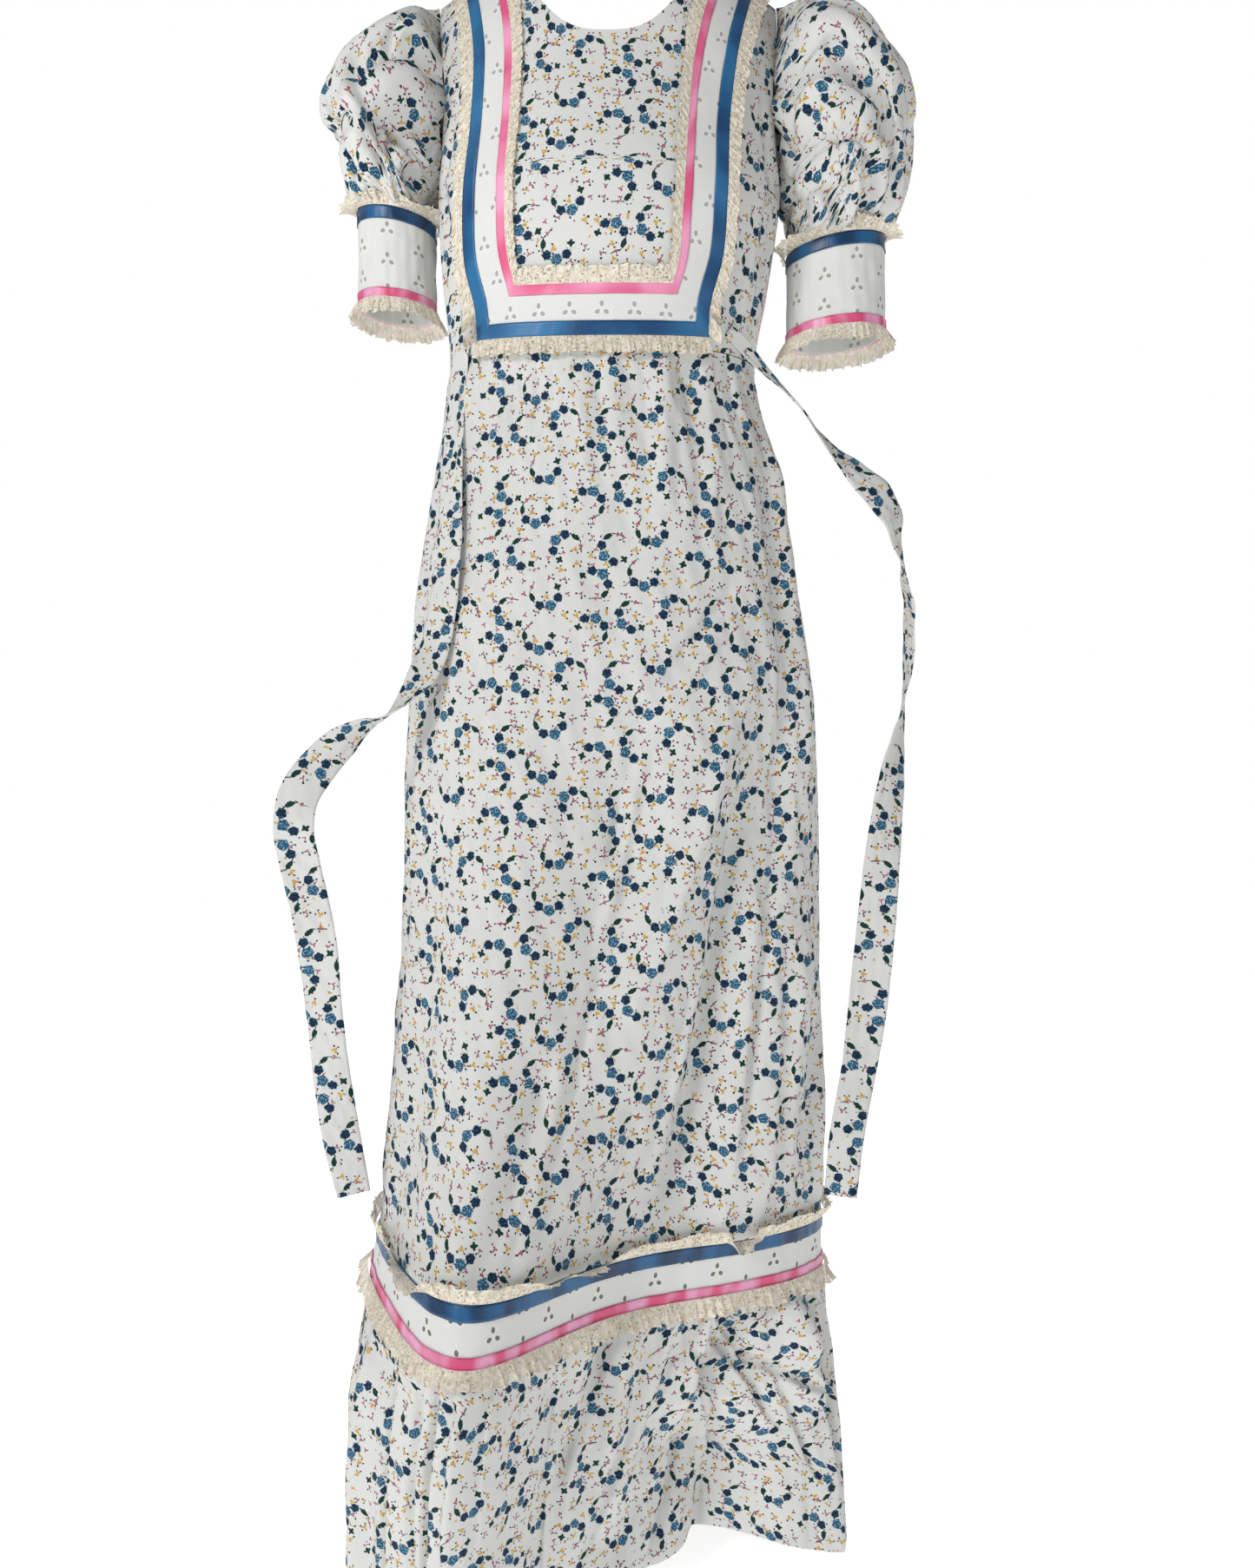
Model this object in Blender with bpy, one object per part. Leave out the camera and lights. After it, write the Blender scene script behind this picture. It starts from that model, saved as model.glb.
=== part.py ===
"""A floor-length dress of printed cotton, worn: every cloth piece is a thin closed wall.

Metres, +Z up. The origin lies between the two neck points of the shoulder seams, where the
wearer's shoulders hold the dress up. The front faces -Y, and +X is to the right as seen from
the front. A surface is a function of two parameters, and a piece is a stretch of a surface
between two lifts, the distances of its inner and outer faces from that surface.
"""

import math

import bmesh
import bpy
import numpy as np

# Cloth, seams and trims
WALL = 0.0012
SEAM_GAP = 0.0003
SEAM_ACROSS = 0.0008
TRIM_THICK = 0.0010
LACE_THICK = 0.0010
YOKE_LIFT = 0.00095
LACE_GAP = 0.0020
BLUE_WIDTH = 0.0115
PINK_WIDTH = 0.0095

# Levels of the dress, from the shoulder line down
EMPIRE_Z = -0.360
BAND_TOP_Z = -1.109
BAND_BOTTOM_Z = -1.154
HEM_Z = -1.404

# Shoulders, neckline and armholes
NECK_HALF_WIDTH = 0.083
NECK_POINT_Z = -0.002
NECK_FRONT_DROP = 0.101
NECK_BACK_DROP = 0.022
NECK_CURVE = 2.8
SHOULDER_HALF_WIDTH = 0.148
SHOULDER_POINT_Z = -0.036
SHOULDER_ROUNDING = 0.115
# How far in rise the panels stop short of the shoulder line, only near the shoulder point
SHOULDER_SHORT = 0.002
SHOULDER_SHORT_POWER = 14
ARMHOLE_LOW = 0.46
ARMHOLE_TURN_IN = 20.0

# Yoke trims on the bodice front: how far the pink ribbon's outer edge lies from the yoke's middle
YOKE_CORNER_Z = -0.3215
# How much higher the yoke's bottom lies 0.1 m out from its middle than at its middle
YOKE_BOTTOM_BOW = 0.0048
BAND_SIDE_WIDTH = 0.0215
YOKE_COLUMNS = ("rise", "middle", "half_width", "squeeze")
YOKE_ROWS = (
    (0.00, -0.0122, 0.0650, 0.94),
    (0.11, -0.0122, 0.0675, 0.93),
    (0.206, -0.0116, 0.0764, 0.92),
    (0.35, -0.0105, 0.0790, 0.92),
    (0.55, -0.0060, 0.0790, 0.86),
    (0.75, -0.0010, 0.0840, 0.80),
    (1.00, 0.0020, 0.1030, 0.72),
)

# The body under the cloth, walking with its right leg forward: one row for each level.
# front and back are depths at the middle, lean turns the ring, and the two knees push it out.
BODY_COLUMNS = ("height", "centre", "half_width", "front", "back", "lean", "front_knee", "back_knee")
BODY_ROWS = (
    (0.00, 0.001, 0.150, 0.088, 0.070, 0.000, 0.000, 0.000),
    (-0.10, 0.001, 0.149, 0.096, 0.082, 0.000, 0.000, 0.000),
    (-0.17, 0.001, 0.148, 0.112, 0.094, 0.000, 0.000, 0.000),
    (-0.225, 0.001, 0.148, 0.121, 0.096, 0.000, 0.000, 0.000),
    (-0.29, -0.002, 0.142, 0.110, 0.090, 0.000, 0.000, 0.000),
    (-0.36, -0.005, 0.134, 0.097, 0.084, 0.000, 0.000, 0.000),
    (-0.46, -0.001, 0.152, 0.106, 0.093, 0.000, 0.002, 0.000),
    (-0.56, 0.000, 0.168, 0.113, 0.106, 0.004, 0.006, 0.000),
    (-0.64, 0.004, 0.177, 0.116, 0.118, 0.008, 0.012, 0.004),
    (-0.72, 0.005, 0.180, 0.115, 0.120, 0.014, 0.022, 0.014),
    (-0.80, 0.0070, 0.180, 0.112, 0.120, 0.020, 0.036, 0.026),
    (-0.92, 0.0060, 0.184, 0.106, 0.121, 0.028, 0.062, 0.042),
    (-1.02, 0.0050, 0.188, 0.100, 0.123, 0.034, 0.092, 0.056),
    (-1.11, 0.0000, 0.193, 0.094, 0.126, 0.040, 0.130, 0.066),
    (-1.17, -0.004, 0.198, 0.090, 0.128, 0.042, 0.144, 0.072),
    (-1.24, -0.007, 0.209, 0.080, 0.132, 0.038, 0.150, 0.080),
    (-1.32, -0.008, 0.215, 0.062, 0.138, 0.026, 0.152, 0.092),
    (-1.41, -0.008, 0.217, 0.046, 0.144, 0.014, 0.152, 0.104),
)
BODY_FLATNESS = 0.85
# How far the stepping leg draws the hem band up at its outer side, round the ring in degrees, and
# the share of that at each height
LIFT_COLUMNS = ("turn", "lift")
BAND_DRAWS = (
    (-180.0, 0.000),
    (-160.0, 0.002),
    (-130.0, 0.014),
    (-108.0, 0.027),
    (-90.0, 0.030),
    (-72.0, 0.027),
    (-56.0, 0.016),
    (-44.0, 0.005),
    (-32.0, 0.000),
    (-20.0, 0.000),
    (180.0, 0.000),
)
DRAW_COLUMNS = ("height", "share")
DRAW_SHARES = (
    (0.00, 0.00),
    (-0.88, 0.00),
    (-0.96, 0.00),
    (-1.04, 0.15),
    (-1.11, 0.60),
    (-1.154, 1.00),
    (-1.24, 0.75),
    (-1.32, 0.35),
    (-1.41, 0.00),
)
FRONT_KNEE_AT = -0.60
FRONT_KNEE_SPREAD = 0.46
BACK_KNEE_AT = 0.50
BACK_KNEE_SPREAD = 0.55

# The skirt's largest folds: turn in degrees from centre front and height at each end of the
# fold's line, its half width in metres, and how far it rises (+) or sinks (-)
FOLD_COLUMNS = ("turn_top", "height_top", "turn_low", "height_low", "half_width", "rise")
SKIRT_FOLDS = (
    (46.0, -0.70, 18.0, -1.09, 0.036, -0.013),
    (28.0, -0.66, 2.0, -1.00, 0.036, 0.009),
    (64.0, -0.86, 38.0, -1.10, 0.032, 0.009),
    (6.0, -0.70, -6.0, -0.90, 0.024, -0.005),
    (-18.0, -0.94, -30.0, -1.11, 0.030, -0.010),
    (-2.0, -1.00, -20.0, -1.11, 0.022, 0.006),
    (34.0, -0.42, 12.0, -0.62, 0.028, 0.004),
    (-72.0, -0.72, -76.0, -1.10, 0.024, 0.006),
    (-56.0, -0.78, -60.0, -1.08, 0.024, -0.004),
    (112.0, -0.60, 118.0, -1.10, 0.040, 0.010),
    (136.0, -0.66, 140.0, -1.10, 0.036, -0.009),
    (160.0, -0.56, 162.0, -1.10, 0.042, 0.010),
    (-118.0, -0.62, -114.0, -1.10, 0.040, 0.010),
    (-140.0, -0.70, -138.0, -1.10, 0.036, -0.009),
    (-165.0, -0.60, -166.0, -1.10, 0.042, 0.009),
)
# A fold fades out this many half widths from its middle
FOLD_FOOT = 1.6
SKIRT_GATHERS = 20
SKIRT_GATHER_DEPTH = 0.0016
SKIRT_GATHER_FADE = 0.12

# The flounce: even gathers that fade downwards, and its own large folds
FLOUNCE_FOLDS = (
    (34.0, -1.165, 10.0, -1.35, 0.030, -0.015),
    (50.0, -1.165, 60.0, -1.26, 0.040, 0.014),
    (22.0, -1.19, 2.0, -1.33, 0.024, 0.011),
    (30.0, -1.27, 33.0, -1.41, 0.044, -0.034),
    (70.0, -1.27, 72.0, -1.41, 0.034, 0.012),
    (-8.0, -1.17, -14.0, -1.41, 0.024, -0.012),
    (-24.0, -1.17, -26.0, -1.41, 0.024, 0.009),
    (-42.0, -1.17, -44.0, -1.41, 0.022, -0.008),
    (-64.0, -1.17, -66.0, -1.41, 0.026, 0.008),
    (-84.0, -1.17, -86.0, -1.41, 0.022, -0.008),
    (100.0, -1.17, 102.0, -1.41, 0.030, -0.012),
    (120.0, -1.17, 124.0, -1.41, 0.034, 0.014),
    (146.0, -1.17, 148.0, -1.41, 0.030, -0.012),
    (168.0, -1.17, 170.0, -1.41, 0.034, 0.013),
    (-106.0, -1.17, -108.0, -1.41, 0.032, 0.012),
    (-128.0, -1.17, -130.0, -1.41, 0.030, -0.012),
    (-148.0, -1.17, -150.0, -1.41, 0.034, 0.013),
    (-170.0, -1.17, -172.0, -1.41, 0.028, -0.011),
)
# How far the hem is lifted by the drape between the two legs, round the ring in degrees
HEM_LIFTS = (
    (-180.0, 0.000),
    (-20.0, 0.000),
    (2.0, 0.004),
    (15.0, 0.020),
    (27.0, 0.029),
    (38.0, 0.027),
    (55.0, 0.014),
    (75.0, 0.003),
    (110.0, 0.000),
    (180.0, 0.000),
)
FLOUNCE_GATHERS = 20
FLOUNCE_GATHER_DEPTH = 0.0022

# Sleeves: the outer and inner ends of each ring, seen from the front, and its half depth
SLEEVE_COLUMNS = ("outer_x", "outer_z", "inner_x", "inner_z", "half_depth")
SLEEVE_ROWS = {
    "r": (
        (0.164, -0.034, 0.1530, -0.218, 0.062),
        (0.189, -0.028, 0.1560, -0.222, 0.076),
        (0.214, -0.042, 0.1580, -0.226, 0.083),
        (0.238, -0.073, 0.1590, -0.230, 0.086),
        (0.258, -0.104, 0.1595, -0.234, 0.086),
        (0.269, -0.138, 0.1600, -0.238, 0.083),
        (0.269, -0.172, 0.1600, -0.242, 0.077),
        (0.264, -0.200, 0.1595, -0.246, 0.067),
        (0.256, -0.224, 0.1590, -0.250, 0.055),
        (0.244, -0.2394, 0.1580, -0.2554, 0.0431),
    ),
    "l": (
        (-0.160, -0.040, -0.1530, -0.2100, 0.058),
        (-0.176, -0.042, -0.1560, -0.2120, 0.070),
        (-0.204, -0.062, -0.1580, -0.2140, 0.077),
        (-0.229, -0.086, -0.1590, -0.2160, 0.080),
        (-0.246, -0.116, -0.1590, -0.2180, 0.079),
        (-0.2455, -0.140, -0.1585, -0.2200, 0.074),
        (-0.2365, -0.153, -0.1575, -0.2220, 0.068),
        (-0.2335, -0.178, -0.1560, -0.2240, 0.060),
        (-0.2300, -0.202, -0.1545, -0.2262, 0.050),
        (-0.2212, -0.2174, -0.1530, -0.2294, 0.0391),
    ),
}
# Diagonal folds of a sleeve: round its ring in degrees from the top, towards the front, at each end
SLEEVE_FOLD_COLUMNS = ("round_top", "along_top", "round_low", "along_low", "half_round", "rise")
SLEEVE_FOLDS = {
    "r": (
        (78.0, 0.10, 30.0, 0.62, 13.0, 0.010),
        (104.0, 0.12, 62.0, 0.74, 13.0, -0.010),
        (128.0, 0.20, 96.0, 0.84, 14.0, 0.009),
        (52.0, 0.30, 14.0, 0.95, 11.0, -0.009),
        (-60.0, 0.15, -40.0, 0.85, 16.0, -0.008),
        (-110.0, 0.15, -90.0, 0.85, 16.0, 0.008),
    ),
    "l": (
        (74.0, 0.08, 36.0, 0.60, 13.0, -0.008),
        (100.0, 0.10, 70.0, 0.70, 12.0, 0.009),
        (46.0, 0.20, 12.0, 0.62, 12.0, 0.008),
        (30.0, 0.52, 84.0, 0.92, 11.0, -0.008),
        (-60.0, 0.15, -40.0, 0.85, 16.0, -0.008),
        (-110.0, 0.15, -90.0, 0.85, 16.0, 0.008),
    ),
}
SLEEVE_GATHERS = 9
SLEEVE_GATHER_DEPTH = 0.0022
SLEEVE_SEAM_GAP = 0.0009
SLEEVE_MEAN_RADIUS = 0.06

# Cuffs: outer and inner ends of the top and the bottom ring, and the half depths
CUFF_COLUMNS = SLEEVE_COLUMNS
CUFF_ROWS = {
    "r": ((0.2440, -0.2400, 0.1580, -0.2560, 0.0430), (0.2445, -0.3240, 0.1580, -0.3330, 0.0430)),
    "l": ((-0.2210, -0.2180, -0.1530, -0.2300, 0.0390), (-0.2200, -0.3010, -0.1520, -0.3080, 0.0390)),
}
CUFF_LACE_DROP = 0.013
CUFF_LACE_WAVES = 10
CUFF_LACE_RISE = 0.003
CUFF_TOP_LACE_FLARE = 0.012
CUFF_LOW_LACE_FLARE = 0.006
CUFF_LACE_SEWN_LIFT = {"top": 0.0005, "low": 0.0016}
CUFF_TOP_LACE_AT = 0.010
CUFF_BLUE_AT = 0.016

# Lace gathers
HEM_LACE_WAVES = 22
HEM_LACE_GAP = 0.0006
HEM_LACE_DROP = 0.019
HEM_LACE_RISE = 0.017
HEM_LACE_SEWN_LIFT = 0.0014
HEM_LACE_STAND = 0.0042
HEM_LACE_WAVE = 0.0060
YOKE_LACE_LOW = 0.0012
YOKE_LACE_WAVE = 0.0036
YOKE_LACE_WIDTH = 0.013
OUTER_LACE_WIDTH = 0.015
EMPIRE_LACE_WAVES = 7
EMPIRE_LACE_STAND = 0.0026
EMPIRE_LACE_WAVE = 0.0034
EMPIRE_LACE_TOP = -0.3558
EMPIRE_LACE_LOW = -0.3690

# Ties: one row for each place along a tie: its middle, its width, and the turn of its face
# about its length, in degrees from facing the front
TIE_THICK = 0.0012
TIE_STEPS = 44
TIE_COLUMNS = ("x", "y", "z", "width", "turn")
TIE_ROWS = {
    "l": (
        (-0.1226, -0.0552, -0.3480, 0.020, -50.0),
        (-0.1253, -0.0530, -0.3702, 0.023, -48.0),
        (-0.1270, -0.0575, -0.3950, 0.024, -46.0),
        (-0.1290, -0.0680, -0.4515, 0.027, -46.0),
        (-0.1317, -0.0791, -0.5207, 0.031, -42.0),
        (-0.1353, -0.0859, -0.5662, 0.033, -40.0),
        (-0.1422, -0.0911, -0.6094, 0.031, -32.0),
        (-0.1511, -0.1000, -0.6334, 0.026, -22.0),
        (-0.1648, -0.1060, -0.6537, 0.022, -50.0),
        (-0.1793, -0.1100, -0.6679, 0.020, -85.0),
        (-0.1960, -0.1120, -0.676, 0.022, -120.0),
        (-0.2120, -0.1130, -0.687, 0.027, -150.0),
        (-0.2310, -0.1160, -0.706, 0.031, -170.0),
        (-0.2470, -0.1230, -0.732, 0.033, -180.0),
        (-0.2500, -0.1270, -0.758, 0.033, -184.0),
        (-0.2450, -0.1220, -0.790, 0.032, -180.0),
        (-0.2375, -0.1190, -0.825, 0.032, -178.0),
        (-0.2330, -0.1180, -0.853, 0.033, -186.0),
        (-0.2270, -0.1170, -0.912, 0.031, -192.0),
        (-0.2215, -0.1160, -0.960, 0.031, -184.0),
        (-0.2115, -0.1140, -1.021, 0.030, -176.0),
        (-0.2040, -0.1130, -1.054, 0.027, -178.0),
    ),
    "r": (
        (0.1026, -0.0680, -0.3405, 0.012, 2.0),
        (0.1170, -0.0550, -0.3518, 0.012, 8.0),
        (0.1323, -0.0500, -0.3678, 0.011, 34.0),
        (0.1470, -0.0530, -0.3837, 0.010, 58.0),
        (0.1625, -0.0580, -0.4012, 0.009, 74.0),
        (0.1786, -0.0670, -0.4276, 0.014, 66.0),
        (0.2040, -0.0800, -0.4594, 0.024, 34.0),
        (0.2247, -0.0860, -0.4818, 0.030, 24.0),
        (0.2388, -0.0800, -0.5002, 0.031, 44.0),
        (0.2457, -0.0680, -0.5213, 0.031, 66.0),
        (0.2540, -0.0500, -0.546, 0.031, 84.0),
        (0.2620, -0.0220, -0.572, 0.031, 92.0),
        (0.2650, 0.0000, -0.612, 0.031, 96.0),
        (0.2600, 0.0000, -0.665, 0.031, 70.0),
        (0.2490, -0.0120, -0.722, 0.030, 30.0),
        (0.2380, -0.0260, -0.793, 0.032, 6.0),
        (0.2310, -0.0320, -0.853, 0.033, -4.0),
        (0.2225, -0.0380, -0.921, 0.033, 0.0),
        (0.2140, -0.0440, -0.972, 0.031, 6.0),
        (0.2045, -0.0500, -1.018, 0.030, 0.0),
        (0.1980, -0.0520, -1.073, 0.028, -4.0),
    ),
}

# Colour, roughness and metallic value of each cloth
PRINT_COTTON = (0.78, 0.77, 0.73, 0.85)
EYELET_COTTON = (0.80, 0.80, 0.78, 0.80)
BLUE_SATIN = (0.03, 0.12, 0.26, 0.35)
PINK_SATIN = (0.80, 0.16, 0.34, 0.35)
ECRU_LACE = (0.66, 0.60, 0.48, 0.90)


def clear_scene():
    for old in list(bpy.data.objects):
        bpy.data.objects.remove(old, do_unlink=True)


def cloth_material(name, look):
    material = bpy.data.materials.new(name)
    material.use_nodes = True
    shader = material.node_tree.nodes["Principled BSDF"]
    shader.inputs["Base Color"].default_value = (*look[:3], 1.0)
    shader.inputs["Roughness"].default_value = look[3]
    shader.inputs["Metallic"].default_value = 0.0
    return material


def column(rows, names, name):
    """One named column of a table."""
    return np.array([row[names.index(name)] for row in rows], dtype=float)


def through(knots, values, at):
    """Smooth curve through the knots: cubic pieces, each knot with its neighbours' slope."""
    knots = np.asarray(knots, dtype=float)
    values = np.asarray(values, dtype=float)
    if knots[0] > knots[-1]:
        knots, values = knots[::-1], values[::-1]
    slopes = np.gradient(values, knots)
    at = np.clip(np.asarray(at, dtype=float), knots[0], knots[-1])
    left = np.clip(np.searchsorted(knots, at, side="right") - 1, 0, len(knots) - 2)
    step = knots[left + 1] - knots[left]
    t = (at - knots[left]) / step
    start = (1.0 + 2.0 * t) * (1.0 - t) ** 2 * values[left]
    start_slope = t * (1.0 - t) ** 2 * step * slopes[left]
    end = t**2 * (3.0 - 2.0 * t) * values[left + 1]
    end_slope = -(t**2) * (1.0 - t) * step * slopes[left + 1]
    return start + start_slope + end + end_slope


def table(rows, names, key, at):
    """Every other column of a table, read at the given places of its key column."""
    knots = column(rows, names, key)
    return {name: through(knots, column(rows, names, name), at) for name in names if name != key}


def hump(distance):
    """A soft hump: 1 at the middle, 0 from a distance of 1 outwards."""
    near = np.clip(1.0 - np.abs(distance), 0.0, 1.0)
    return near * near * (3.0 - 2.0 * near)


def points(x, y, z):
    return np.stack(np.broadcast_arrays(x, y, z), axis=-1).astype(float)


def normals(surface, u, v, step=1e-4):
    """Unit normals of a surface function, from its two slopes."""
    along_u = surface(u + step, v) - surface(u - step, v)
    along_v = surface(u, v + step) - surface(u, v - step)
    across = np.cross(along_u, along_v)
    return across / np.linalg.norm(across, axis=-1, keepdims=True)


def lifted(surface, u, v, lift, side):
    """Points of a surface moved out along its normals."""
    lift = np.asarray(lift, dtype=float)
    return surface(u, v) + side * lift[..., None] * normals(surface, u, v)


def wall(name, outer, inner, material, closed=False):
    """A closed wall between two grids of points of the same size; closed joins its two ends."""
    count_u, count_v = outer.shape[:2]
    size = count_u * count_v
    vertices = np.concatenate([outer.reshape(-1, 3), inner.reshape(-1, 3)])

    def at(i, j, layer):
        return layer * size + (i % count_u) * count_v + j

    faces = []

    def quad(a, b, c, d):
        faces.append((a, b, c))
        faces.append((a, c, d))

    last_u = count_u if closed else count_u - 1
    for i in range(last_u):
        for j in range(count_v - 1):
            quad(at(i, j, 0), at(i + 1, j, 0), at(i + 1, j + 1, 0), at(i, j + 1, 0))
            quad(at(i, j, 1), at(i, j + 1, 1), at(i + 1, j + 1, 1), at(i + 1, j, 1))
        quad(at(i, 0, 1), at(i + 1, 0, 1), at(i + 1, 0, 0), at(i, 0, 0))
        top = count_v - 1
        quad(at(i, top, 0), at(i + 1, top, 0), at(i + 1, top, 1), at(i, top, 1))
    if not closed:
        end = count_u - 1
        for j in range(count_v - 1):
            quad(at(0, j, 0), at(0, j + 1, 0), at(0, j + 1, 1), at(0, j, 1))
            quad(at(end, j, 1), at(end, j + 1, 1), at(end, j + 1, 0), at(end, j, 0))
    mesh = bpy.data.meshes.new(name)
    mesh.from_pydata(vertices.tolist(), [], faces)
    shape = bmesh.new()
    shape.from_mesh(mesh)
    if shape.calc_volume(signed=True) < 0.0:
        bmesh.ops.reverse_faces(shape, faces=shape.faces)
    shape.to_mesh(mesh)
    shape.free()
    mesh.shade_smooth()
    mesh.set_sharp_from_angle(angle=math.radians(50.0))
    mesh.materials.append(material)
    piece = bpy.data.objects.new(name, mesh)
    bpy.context.scene.collection.objects.link(piece)
    return piece


def lift_at(rows, turn):
    """A table's lift at a turn round the ring."""
    around = (np.degrees(turn) + 180.0) % 360.0 - 180.0
    return table(rows, LIFT_COLUMNS, "turn", around)["lift"]


def body(turn, height):
    """The worn ring at a height: half width by sine, depths by cosine, pushed out at the knees."""
    ring = table(BODY_ROWS, BODY_COLUMNS, "height", height)
    side = np.sin(turn)
    face = np.cos(turn)
    reach = np.abs(face) ** BODY_FLATNESS
    front_knee = np.exp(-(((side - FRONT_KNEE_AT) / FRONT_KNEE_SPREAD) ** 2))
    back_knee = np.exp(-(((side - BACK_KNEE_AT) / BACK_KNEE_SPREAD) ** 2))
    front = ring["front"] + ring["front_knee"] * front_knee
    back = ring["back"] + ring["back_knee"] * back_knee
    y = np.where(face > 0.0, -front * reach, back * reach) + ring["lean"] * side
    draw = lift_at(BAND_DRAWS, turn) * table(DRAW_SHARES, DRAW_COLUMNS, "height", height)["share"]
    return points(ring["centre"] + ring["half_width"] * side, y, height + draw)


def folds(rows, turn, height, half_width):
    """The sum of a table's folds: each is a hump across its slanting line, faded at its ends."""
    total = np.zeros(np.broadcast(turn, height).shape)
    for row in rows:
        fold = dict(zip(FOLD_COLUMNS, row))
        along = (height - fold["height_top"]) / (fold["height_low"] - fold["height_top"])
        middle = np.radians(fold["turn_top"] + (fold["turn_low"] - fold["turn_top"]) * along)
        apart = (turn - middle + math.pi) % (2.0 * math.pi) - math.pi
        ends = np.clip(3.0 * (along + 0.18), 0.0, 1.0) * np.clip(3.0 * (1.18 - along), 0.0, 1.0)
        total = total + fold["rise"] * hump(apart * half_width / fold["half_width"] / FOLD_FOOT) * ends
    return total


def skirt_surface(turn, height):
    """The skirt: the body's ring, its large folds, and small gathers that fade below the seam."""
    base = body(turn, height)
    ring = table(BODY_ROWS, BODY_COLUMNS, "height", height)
    below_seam = np.clip((EMPIRE_Z - height) / 0.05, 0.0, 1.0)
    above_band = np.clip((height - BAND_TOP_Z) / 0.05, 0.35, 1.0)
    bulge = folds(SKIRT_FOLDS, turn, height, ring["half_width"]) * below_seam * above_band
    depth = (EMPIRE_Z - height) / SKIRT_GATHER_FADE
    fade = np.clip(depth * 5.0, 0.0, 1.0) * np.clip(1.0 - depth, 0.0, 1.0)
    bulge = bulge + SKIRT_GATHER_DEPTH * np.sin(SKIRT_GATHERS * turn) * fade
    return base + bulge[..., None] * outward(turn)


def outward(turn):
    return points(np.sin(turn), -np.cos(turn), np.zeros_like(turn))


def flounce_surface(turn, height):
    """The flounce: the body's ring with its gathers at the top and its large folds below."""
    base = body(turn, height)
    ring = table(BODY_ROWS, BODY_COLUMNS, "height", height)
    drop = np.clip((BAND_BOTTOM_Z - height) / (BAND_BOTTOM_Z - HEM_Z), 0.0, 1.0)
    start = np.clip(drop * 6.0, 0.0, 1.0)
    bulge = folds(FLOUNCE_FOLDS, turn, height, ring["half_width"]) * start
    gathers = FLOUNCE_GATHER_DEPTH * np.sin(FLOUNCE_GATHERS * turn + 2.0 * np.sin(3.0 * turn))
    bulge = bulge + gathers * np.clip(drop * 8.0, 0.0, 1.0) * (1.0 - 0.6 * drop)
    return base + bulge[..., None] * outward(turn)


def ridge(x):
    """Height of the shoulder line: level to the neck point, then sloping to the shoulder point."""
    slope = (SHOULDER_POINT_Z - NECK_POINT_Z) / (SHOULDER_HALF_WIDTH - NECK_HALF_WIDTH)
    return NECK_POINT_Z + slope * (np.abs(x) - NECK_HALF_WIDTH)


def top_edge(x, neck_drop):
    """Top of a bodice panel: the neckline curve in the middle, the shoulder seam beside it."""
    within = np.clip(np.abs(x) / NECK_HALF_WIDTH, 0.0, 1.0)
    neckline = NECK_POINT_Z - neck_drop * (1.0 - within**NECK_CURVE)
    return np.where(np.abs(x) < NECK_HALF_WIDTH, neckline, ridge(x))


def bodice_surface(side, neck_drop):
    """One half of the bodice: side is +1 for the front and -1 for the back.

    across runs from -1 to 1 between the side seams, rise from 0 at the empire seam to 1 at the
    neckline and shoulder seam. The edge turns in at the armhole, and the depth rounds over to
    nothing at the shoulder line.
    """

    def surface(across, rise):
        across, rise = np.broadcast_arrays(np.asarray(across, float), np.asarray(rise, float))
        rise = rise * (1.0 - SHOULDER_SHORT * np.abs(across) ** SHOULDER_SHORT_POWER)
        in_armhole = np.clip((rise - ARMHOLE_LOW) / (1.0 - ARMHOLE_LOW), 0.0, 1.0)
        edge = 90.0 - ARMHOLE_TURN_IN * np.sin(math.pi * in_armhole) ** 0.9
        turn = np.radians(across * edge)
        top_x = SHOULDER_HALF_WIDTH * np.sin(np.radians(across * 90.0))
        height = EMPIRE_Z + (top_edge(top_x, neck_drop) - EMPIRE_Z) * rise
        ring = table(BODY_ROWS, BODY_COLUMNS, "height", height)
        x = ring["centre"] + ring["half_width"] * np.sin(turn)
        x = x + (top_x - x) * np.clip(rise, 0.0, 1.0) ** 6
        below_ridge = np.clip((ridge(x) - height) / SHOULDER_ROUNDING, 0.0, 1.0)
        rounding = np.sqrt(np.clip(1.0 - (1.0 - below_ridge) ** 2, 1e-6, 1.0))
        depth = ring["front"] if side > 0 else ring["back"]
        y = -side * depth * np.abs(np.cos(turn)) ** BODY_FLATNESS * rounding
        return points(x, y, height)

    return surface


BODICE_FRONT = bodice_surface(1.0, NECK_FRONT_DROP)
BODICE_BACK = bodice_surface(-1.0, NECK_BACK_DROP)


def spaced(start, end, count):
    return np.linspace(start, end, count)


def grid(us, vs):
    return np.meshgrid(us, vs, indexing="ij")


def panel(name, surface, us, vs, low, high, material, side):
    """A wall over the rows and columns of a surface."""
    wall_on(name, surface, *grid(us, vs), low, high, material, side)


def wall_on(name, surface, u, v, low, high, material, side):
    """A wall over a grid of a surface, its inner face lifted by low and its outer by high."""
    outer = lifted(surface, u, v, np.full(u.shape, high), side)
    inner = lifted(surface, u, v, np.full(u.shape, low), side)
    wall(name, outer, inner, material)


def side_of(surface, u, v, outward_vector):
    """+1 when the surface's own normal points the same way as the vector, else -1."""
    normal = normals(surface, np.array([u]), np.array([v]))[0]
    return 1.0 if float(np.dot(normal, outward_vector)) > 0.0 else -1.0


BODY_SIDE = side_of(skirt_surface, 0.0, -0.8, (0.0, -1.0, 0.0))
FRONT_SIDE = side_of(BODICE_FRONT, 0.0, 0.4, (0.0, -1.0, 0.0))
BACK_SIDE = side_of(BODICE_BACK, 0.0, 0.4, (0.0, 1.0, 0.0))

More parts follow.
